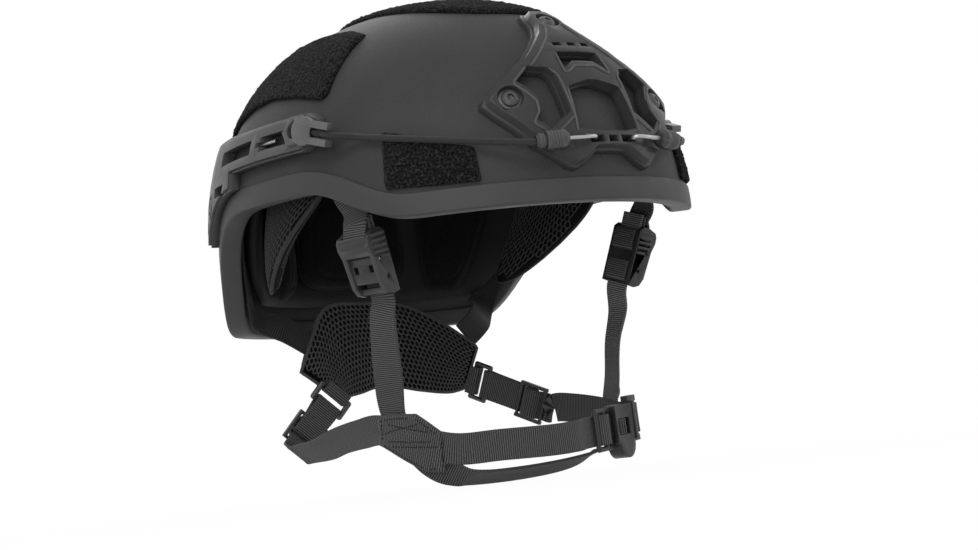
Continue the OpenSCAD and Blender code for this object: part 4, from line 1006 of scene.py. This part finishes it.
usr = upper(ADJ_R, (60.8, 8, -13.2), ((62.5, 17), (63.5, 26), (65.3, 34)), [0.4, -0.915, 0.05])
usl = upper(ADJ_L, (-65.35, 8.5, -12.94), ((-63.8, 17), (-64.5, 26), (-65.3, 34)), [0.4, 0.915, -0.05])
lsr = lower(ADJ_R,
            [[-84.9, -50.0, -49], [-79.2, -41.3, -74], [-72.3, -32.2, -95], [-67.7, -39.3, -109],
             [-63, -49, -120.5], [-54, -56.4, -128.4], [-43, -60, -130.8], [-17, -61, -131],
             [9, -62, -129.6], [22, -66, -127], [29, -69, -123.5]],
            [[0.3, -0.95, -0.05], [0.45, -0.88, 0], [0.2, -0.97, 0.15], [0.27, -0.76, 0.58],
             [0.4, -0.58, 0.7], [0.2, -0.88, 0.4], [0.08, -0.92, 0.38], [0, -0.92, 0.4],
             [0, -0.92, 0.4], [0, -0.94, 0.33], [0, -0.97, 0.25]])
lsl = lower(ADJ_L,
            [[89.6, -26.5, -48], [85, -25, -64], [78, -29.5, -81.5], [69.5, -36.5, -94], [63.9, -41, -101],
             [63.1, -43.2, -108.5]],
            [[0.05, 0.98, 0.1], [0.2, 0.97, 0.1], [0.3, 0.93, 0.1], [0.3, 0.9, 0.1], [0.2, 0.93, 0.1],
             [-0.05, 0.97, 0.2]])
LADDER_TURN = [(-16, 0, -2.3), (-10, 0, -2.5), (-7, 0, -2.5), (-5, 0, -1.5), (-3.4, 0, 0.4),
               (-1, 0, 2.1), (1.5, 0, 2.5), (3.4, 0, 1.6), (4, 0, 0), (3.4, 0, -1.6), (1.5, 0, -2.5),
               (-2, 0, -3.4), (-7, 0, -4.4), (-14, 0, -4.3)]
LATCH_FROM = [-12, -82.4, -116]     # where the chin strap begins to follow the ladder
loop_r = [place(SLIDE_R, p) for p in looped(RING_R_U)]
run_c = [in_k(19.5, 1.2), in_k(15.5, -0.6), in_k(9, -0.3), [-71, 40, -107.6], [-74, 18, -104.3],
         [-75, -4, -102.3], [-74, -22, -101.6], [-69.4, -44.5, -108.6], [-57, -61.5, -115.2],
         [-36.8, -74, -115.6], LATCH_FROM, [4, -84.2, -115.4]]
wide_c = [K_WIDE, K_WIDE, K_WIDE, [0.7, 0, -0.72], [0.55, 0.05, -0.84], [0.35, 0.05, -0.94],
          [0.15, 0.1, -0.98], [0.05, 0.2, -0.98], [0, 0.1, -0.99], [0, 0, -1], [0, 0, -1], [0, 0, -1]]
chin = (loop_r + run_c + [at(BUCKLE_F, p) for p in LADDER_TURN],
        [K_WIDE] * len(loop_r) + wide_c + [-BUCKLE_F[2]] * len(LADDER_TURN))
CHIN_END = 35                       # the station of LATCH_FROM
loop_l = [place(GLIDE_L, p) for p in looped(RING_L_U)]
run_n = [[55.6, -8, -98.2], [57.6, -22, -100.2], [59.6, -36, -103], [61.3, -48, -106.4]]
turn_n = [(36.5, 3, -8), (36.5, 3, -4), (36.5, 3, -0.5), (35.9, 3, 1.6), (34, 3, 2.5), (32.2, 3, 1.6),
          (31.6, 3, -0.5), (31.9, 3, -6), (33.4, 3, -14)]
nap = (loop_l + run_n + [at(BUCKLE_F, p) for p in turn_n],
       [GLIDE_L[2]] * len(loop_l) + [[0, -0.2, 0.98]] * len(run_n) + [BUCKLE_F[2]] * len(turn_n))


JOIN_FROM = 28          # the chin webbing's station that the junction's own stations count from
# The lap's upper and lower edge and the rows of thread: (stations on from JOIN_FROM, across in mm).
JOIN_TOP = [(3.0, -7.9), (3.95, -13.6), (4.62, -7.6)]
JOIN_LOW = [(2.9, 7.9), (4.42, 14.2), (4.86, 12.2)]
JOIN_ROWS = [((3.3, 4.6), (4.5, -2.2)), ((3.45, 6.4), (4.6, 0.0)), ((3.12, -6.5), (3.12, 6.0)),
             ((3.2, -6.3), (3.9, -11.8)), ((4.02, -11.6), (4.55, -6.0)), ((3.15, 7.2), (4.35, 12.4)),
             ((4.5, 12.2), (4.72, 10.6)), ((4.68, -5.5), (4.8, 10.0)), ((3.3, -4.5), (4.4, -6.5)),
             ((3.2, 1.0), (4.1, -9.5))]


def junction():
    """Sewn lap where the near vertical strap meets the chin webbing, with its rows of thread."""
    pts, u, v = web_axes(*chin)
    run, steps = run_of(pts), np.arange(len(pts))

    def spot(q, lift):
        i = (JOIN_FROM + q[..., 0]) * WEB_N
        a, b, c = (sample(i, steps, w) for w in (pts, u, v))
        return a + b * q[..., 1:2] - c * lift[..., None]
    n, m = 33, 17
    t = np.linspace(0, 1, n)
    top, low = (sample(t, (0, k, 1), np.array(line)) for k, line in ((0.55, JOIN_TOP), (0.75, JOIN_LOW)))
    w = np.linspace(0, 1, m)[:, None, None]
    q = top[None] * (1 - w) + low[None] * w
    rim_t = np.minimum(np.minimum(t, 1 - t)[None, :] * 45, np.minimum(w, 1 - w)[..., 0] * 22)
    face = WEB_T / 2 + 0.35 + 0.75 * np.clip(rim_t, 0, 1) ** 0.5
    back = np.full(face.shape, -WEB_T / 2 - 0.2)
    verts = np.vstack([spot(q, face).reshape(-1, 3), spot(q, back).reshape(-1, 3)])
    s = np.interp((JOIN_FROM + q[..., 0]) * WEB_N, steps, run)
    attr = np.stack([q[..., 1] * 0.42, s, np.ones_like(s)], -1).reshape(-1, 3)
    k = n * m
    edge = [*range(n), *range(2 * n - 1, k, n), *range(k - 2, k - n - 1, -1), *range(k - 2 * n, 0, -n)]
    faces = (grid_faces(m, n) + grid_faces(m, n, start=k, flip=True)
             + [(a, b, b + k, a + k) for a, b in zip(edge, edge[1:] + edge[:1])])
    settle(clean(mesh("junction_lap", verts, faces, WEB, np.vstack([attr, attr]))), "webbing")
    a, lift = np.linspace(0, 1, 24)[:, None], np.full(24, WEB_T / 2 + 1.15)
    rows = [spot(np.array(p) * (1 - a) + np.array(q) * a, lift) for p, q in JOIN_ROWS]
    settle(stitches("junction_thread", rows, THREAD, -v[(JOIN_FROM + 4) * WEB_N]), "webbing")


junction()


def tab(name, f, ring_u, reach):
    """Webbing that ties the nape pad to a ring."""
    bar = place(f, (ring_u + 9, -2.95))
    turn = [(reach, -2.65), (0, -2.65), (-1.9, -1.9), (-2.65, 0), (-1.9, 1.9), (0, 2.65), (reach, 2.65)]
    return webbing(name, [bar + q[0] * f[1] + q[1] * f[3] for q in turn], [f[2]] * len(turn), WEB)


# The far lower strap takes the lighter webbing, as painted light.
for nm, strap, node, mat in (("upper_strap_r", usr, "upper_strap_right", WEB),
                             ("upper_strap_l", usl, "upper_strap_left", WEB),
                             ("lower_strap_r", lsr, "lower_strap_right", WEB),
                             ("lower_strap_l", lsl, "lower_strap_left", WEB_PAINTED_LIGHT),
                             ("nape_webbing", nap, "nape_strap", WEB)):
    settle(webbing(nm, *strap, mat), "webbing", node)
settle(webbing("chin_webbing", *chin, WEB, hi=CHIN_END * WEB_N + 1), "webbing", "chin_strap")
chin_end = webbing("chin_webbing_end", *chin, WEB, lo=CHIN_END * WEB_N)
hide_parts("chin_strap_end")
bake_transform(chin_end)
settle(merged([tab("nape_tab_webbing", SLIDE_R, RING_R_U, 3.4), tab("tab_l", GLIDE_L, RING_L_U, 3.2)]),
       "webbing", "nape_tabs")

# Bands of webbing across the adjusters' inner faces.
KEEPER = [(0.3, -4.7), (0, -5.7), (-1.2, -6.3), (-5, -6.45), (-8.8, -6.3), (-10, -5.7), (-10.3, -4.7)]
settle(merged([webbing("keeper", [at(f, (0, top + y, z)) for y, z in KEEPER], [f[1]] * len(KEEPER), WEB)
               for f in (ADJ_R, ADJ_L) for top in (14.2, -3.4)], "adjuster_keepers"), "webbing")

rear_in = [(125, 14, 3.1), (129, 0, 3.0), (133.5, -14, 3.2), (137.5, -30.5, 5.6)]
rear_wide = [[0.47, 0.88, 0], [0.53, 0.85, 0], [0.57, 0.8, 0.12], [0.5, 0.6, 0.6], [0.35, 0.3, 0.88]]
rear_r = webbing("rear_strap_webbing", [skin(a, z, INNER - d) for a, z, d in rear_in]
                 + [[-67, 75, -39], [-48, 78.8, -48]], rear_wide + [[0.5, 0.25, 0.83]], WEB_DARK)
rear_l = webbing("rear_l", [skin(-a, z, INNER - d) for a, z, d in rear_in] + [[62, 66, -40], [46, 61, -50]],
                 [[x, -y, -z] for x, y, z in rear_wide] + [[0.3, -0.2, -0.95]], WEB_DARK)
settle(merged([rear_r, rear_l]), "webbing", "rear_straps")


# ---------------------------------------------------------------- bungees
GRIP_FROM, GRIP_TO = np.array([-45.8, -139.4, 27.5]), np.array([-31.1, -144.4, 28.1])
GRIP_DIR = unit(GRIP_TO - GRIP_FROM)
FORK = square([-119.5, -46.3, 50.4], [0.26, -0.92, -0.30])
BUNGEE_D = 3.4
CORD_OFF = SEAT + PATCH_T + 0.4 + BUNGEE_D / 2
BUNGEE = ([at(FORK, (x, 0, 0.2)) for x in (9, 15, 20)]
          + [skin(*p) for p in ((55, 42.5, CORD_OFF), (47, 38.8, CORD_OFF), (38, 35, CORD_OFF),
                                (30, 31.8, CORD_OFF + 0.2), (24.5, 29.4, 8.4))]
          + [GRIP_FROM + s * GRIP_DIR for s in (-3, 2, 7)])

for side_name, side in (("right", 1), ("left", -1)):
    b = tube("bungee_cord_" + side_name, smooth(BUNGEE, 9), BUNGEE_D / 2, BRAID, segs=18)
    if side < 0:
        mirrored(b)
    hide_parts("bungee_" + side_name)
    start, end = (tuple(p * [side * MM, MM, MM]) for p in (skin(38, 35, CORD_OFF), GRIP_FROM + GRIP_DIR))
    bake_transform(b)
    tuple(start)
    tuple(end)


# ---------------------------------------------------------------- hard parts with eased edges
FLAT, CORNER, SHARP = 0.6, 28, 38       # degrees: edges dissolved below, eased above and shaded sharp above


def dress(node, mat, ease):
    """Takes a copy of a CAD node's mesh with its edges rounded by ease mm, in place of the node."""
    me = frame["nodes"][node].data.copy()
    bm = bmesh.new()
    bm.from_mesh(me)
    bmesh.ops.remove_doubles(bm, verts=bm.verts, dist=WELD)
    bmesh.ops.dissolve_limit(bm, angle_limit=math.radians(FLAT), verts=bm.verts, edges=bm.edges,
                             delimit=set())
    bm.to_mesh(me)
    bm.free()
    me.materials.clear()
    me.materials.append(mat)
    ob = linked(node + "_eased", me)
    if ease:
        b = ob.modifiers.new("ease", "BEVEL")
        b.width = ease * MM
        b.segments = 2
        b.limit_method = "ANGLE"
        b.angle_limit = math.radians(CORNER)
        b.use_clamp_overlap = True
        b.miter_outer = "MITER_ARC"
        apply_mods(ob)
    ob.data.shade_smooth()
    ob.data.set_sharp_from_angle(angle=math.radians(SHARP))
    slot = next(s["material_slot"] for s in frame["record"]["subparts"] if s["node"] == node)
    body = next(b for b, ns in frame["record"]["behaviour"]["bodies"].items() if node in ns)
    return settle(ob, slot, node, body=body)


# The shroud's border and windows, seen from the front: across and up.
SHROUD_H = 7.5
SHROUD_EDGE = [[8.8, 97.5], [9.9, 92.7], [14.5, 86.5], [20.8, 80.8], [30.1, 72.5], [44.4, 61.9], [56, 51.8],
               [58, 48], [54.5, 42.4], [40.9, 26.3], [26, 14.5], [22, 13.4], [16.6, 16.2], [9.4, 21.7]]
SIDE_WINDOW = [[40.7, 59.1], [32.8, 66], [23.6, 64.9], [21.3, 62], [21, 41.7], [32.5, 33.2], [38, 38],
               [34.5, 43], [34, 50], [37.5, 55.5]]
LOW_WINDOW = [[15.5, 54.5], [3, 58], [-3, 58], [-15.5, 54.5], [-17.8, 33], [-9, 31.6], [9, 31.6], [17.8, 33]]
HIGH_WINDOW = [[12, 74], [13, 66], [7, 70], [-7, 70], [-13, 66], [-12, 74]]
BEAD_R = 0.7
GRIP_CLEAR = 7.4                # the beads keep this far from the line along which a grip slides
RAY_OUT, RAY_IN = 20.0, 2.0     # distances from the skin where the rays that find the top face begin and aim


def grown(poly, d):
    """Moves each side of a flat outline outward by d."""
    poly = np.asarray(poly, float)
    e0, e1 = unit(poly - np.roll(poly, 1, 0)), unit(np.roll(poly, -1, 0) - poly)
    n0, n1 = np.stack([e0[:, 1], -e0[:, 0]], 1), np.stack([e1[:, 1], -e1[:, 0]], 1)
    x, y = poly[:, 0], poly[:, 1]
    turn = np.sign(np.sum(x * np.roll(y, -1) - np.roll(x, -1) * y))
    m = unit(n0 + n1)
    return poly + turn * d * m / np.clip(np.sum(m * n0, 1), 0.6, 1)[:, None]


def shroud_rims(shroud):
    """Moulded beads round the windows and along the border, only where they lie on the top face; their
    lighter plastic is a painted highlight.
    """
    me = shroud.data
    tree = BVHTree.FromPolygons([v.co for v in me.vertices], [p.vertices for p in me.polygons])
    lines = [grown(np.array(SIDE_WINDOW) * [sx, 1], 2.1) for sx in (1, -1)]
    lines += [grown(LOW_WINDOW, 1.9), grown(HIGH_WINDOW, 1.9),
              grown(SHROUD_EDGE + [[-x, z] for x, z in SHROUD_EDGE[::-1]], -2.7)]

    def top_face(f, b):
        """The point of the shroud between f and b, or None off its top face and near a grip."""
        hit = tree.ray_cast(Vector(f * MM), Vector(unit(b - f)))
        if not hit[0]:
            return None
        depth = RAY_OUT - (RAY_OUT - RAY_IN) * hit[3] * TO_MM / np.linalg.norm(b - f)
        if abs(depth - SHROUD_H) >= 0.6:
            return None
        q = np.array(hit[0]) * TO_MM
        right = q * [-abs(q[0]) / q[0], 1, 1]
        axis = GRIP_FROM + np.clip((right - GRIP_FROM) @ GRIP_DIR, -9, 26) * GRIP_DIR
        return q if np.linalg.norm(right - axis) >= GRIP_CLEAR else None
    beads = []
    for line in lines:
        line = resample(round_poly(line, 1.6), 0.8)
        spots = [top_face(f, b) for f, b in zip(brow_skin(line, RAY_OUT), brow_skin(line, RAY_IN))]
        gap = [i for i, q in enumerate(spots) if q is None]
        if not gap:
            beads.append(tube("bead", spots, BEAD_R, RIM, segs=8, closed=True))
            continue
        run = []
        for q in spots[gap[0]:] + spots[:gap[0]] + [None]:
            if q is not None:
                run.append(q)
                continue
            if len(run) > 5:
                ends = np.minimum(np.arange(len(run)), np.arange(len(run))[::-1])
                beads.append(tube("bead", run, BEAD_R * np.clip(0.35 + 0.3 * ends, 0, 1), RIM, segs=8))
            run = []
    settle(merged(beads, "shroud_rims"), "frame_plastic")


shroud_rims(dress("front_shroud", SHROUD, 0.45))

# Rings along each grip: (from the grip's end, radius).
RIBS = ((6.4, 4.6), (7.9, 4.7), (9.4, 4.75), (10.9, 4.75), (12.4, 4.7), (2.0, 3.8), (3.4, 3.8))
RIB_R = 0.42
grip_side = unit(np.cross([0, 0, 1], GRIP_DIR))
grip_up = np.cross(GRIP_DIR, grip_side)
turn_c = np.radians(np.arange(0, 360, 12))[:, None]
round_c = np.cos(turn_c) * grip_side + np.sin(turn_c) * grip_up
for side_name in ("right", "left"):
    ribs = merged([tube("rib", GRIP_FROM + s * GRIP_DIR + r * round_c, RIB_R, GRIP, segs=8, closed=True)
                   for s, r in RIBS], "grip_ribs_" + side_name)
    if side_name == "left":
        mirrored(ribs)
    settle(ribs, "grip_rubber", body="pull_" + side_name)

for mat, nodes in (
        (RAIL, (("rail_right", 0.4), ("rail_left", 0.4))),
        (BLACKED, (("shroud_screws", 0.18), ("shroud_washers", 0.15), ("rail_screws", 0.18),
                   ("shroud_nuts", 0.15), ("rail_nuts", 0.15), ("strap_anchors", 0.2), ("slotted_ring", 0),
                   ("wire_ring", 0))),
        (GLOSS, (("rail_forks", 0.5),)),
        (STEEL, (("rail_rods", 0.2), ("hook_right", 0), ("hook_left", 0), ("cam_pins", 0.15))),
        (GRIP, (("grip_right", 0.2), ("grip_left", 0.2))),
        (BUCKLE, (("adjuster_right", 0.35), ("adjuster_left", 0.35), ("cam_right", 0.3), ("cam_left", 0.3),
                  ("chin_slide", 0.3), ("tri_glide", 0.3), ("buckle_ladder", 0.35))),
        (BUCKLE_DARK, (("buckle_body", 0.5), ("buckle_lock", 0.2))),
        (LOOP, (("shell_discs", 0.3),))):
    for node, ease in nodes:
        dress(node, mat, ease)


# ---------------------------------------------------------------- floor, light and camera
AMBIENT = 0.38          # the world's light on the object
world = bpy.data.worlds.new("studio")
bpy.context.scene.world = world
w = Tree(world)
soft = w.node("ShaderNodeBackground", {0: (0.97, 0.98, 1.0, 1), 1: AMBIENT}).outputs[0]
white = w.node("ShaderNodeBackground", {0: (1, 1, 1, 1), 1: 1.0}).outputs[0]
both = w.node("ShaderNodeMixShader", {0: w.seen("Camera", "Transmission", "Glossy"), 1: soft, 2: white})
w.node("ShaderNodeOutputWorld", {0: both.outputs[0]})

# The floor is seen as white away from the object, and keeps a little of its shadow under it.
FLOOR_HALF, FLOOR_GREY = 3000, 0.9
NEAR, FAR = 0.12, 0.6           # metres from the middle
NEAR_WHITE = 0.975              # the share of white there and nearer; it is all white from FAR on
UNDER_BOX = 0.0005              # metres from the CAD model's box down to the floor
floor_z = (cad_box[0][2] - UNDER_BOX) * TO_MM
ends = [[x * FLOOR_HALF, y * FLOOR_HALF, floor_z] for x, y in ((-1, -1), (1, -1), (1, 1), (-1, 1))]
floor = mesh("pale_floor", ends, [(0, 1, 2, 3)], PAINT)
floor_mat = bpy.data.materials.new("floor_pale")
f = Tree(floor_mat)
place_m = f.node("ShaderNodeTexCoord").outputs["Object"]
away = f.node("ShaderNodeVectorMath", {0: place_m}, operation="LENGTH").outputs["Value"]
share = f.math("MULTIPLY", f.seen("Camera", "Glossy"), f.span(away, NEAR, FAR, NEAR_WHITE, 1.0))
lit = f.node("ShaderNodeBsdfDiffuse", {0: (FLOOR_GREY,) * 3 + (1,)}).outputs[0]
white = f.node("ShaderNodeEmission", {0: (1, 1, 1, 1)}).outputs[0]
both = f.node("ShaderNodeMixShader", {0: share, 1: lit, 2: white}).outputs[0]
f.node("ShaderNodeOutputMaterial", {0: both})
floor.data.materials[0] = floor_mat

# Disc lamps: place and aim in metres, diameter in metres, power in watts.
for name, spot, aim, size, power in (("key", (-1.1, -0.95, 1.25), (0, 0, 0.02), 0.9, 8),
                                     ("fill", (1.2, -0.9, 0.5), (0, 0, 0.0), 0.8, 2),
                                     ("low", (-1.1, -1.1, 0.0), (0, 0, -0.05), 0.7, 6),
                                     ("back", (0.3, 1.2, 1.1), (0, 0, 0.05), 0.9, 6)):
    lamp = bpy.data.lights.new(name, "AREA")
    lamp.shape, lamp.size, lamp.energy = "DISK", size, power
    ob = linked(name, lamp)
    ob.location = spot
    ob.rotation_euler = (Vector(aim) - Vector(spot)).to_track_quat("-Z", "Y").to_euler()

# The photograph's camera: its place in metres, and the ways forward, right and up.
CAM_AT = (-0.666414, -0.915241, -0.117143)
FORWARD = (0.599254, 0.796232, 0.083120)
RIGHT = (0.799671, -0.590464, -0.108991)
UP = (0.037703, -0.131781, 0.990562)
lens = bpy.data.cameras.new("photo_camera")
lens.lens, lens.sensor_width = 76.39, 36.0
camera = linked("photo_camera", lens)
camera.matrix_world = Matrix([(r, u, -f, p) for r, u, f, p in zip(RIGHT, UP, FORWARD, CAM_AT)]
                             + [(0, 0, 0, 1)])
bpy.context.scene.camera = camera
bpy.context.scene.view_settings.view_transform = "Standard"
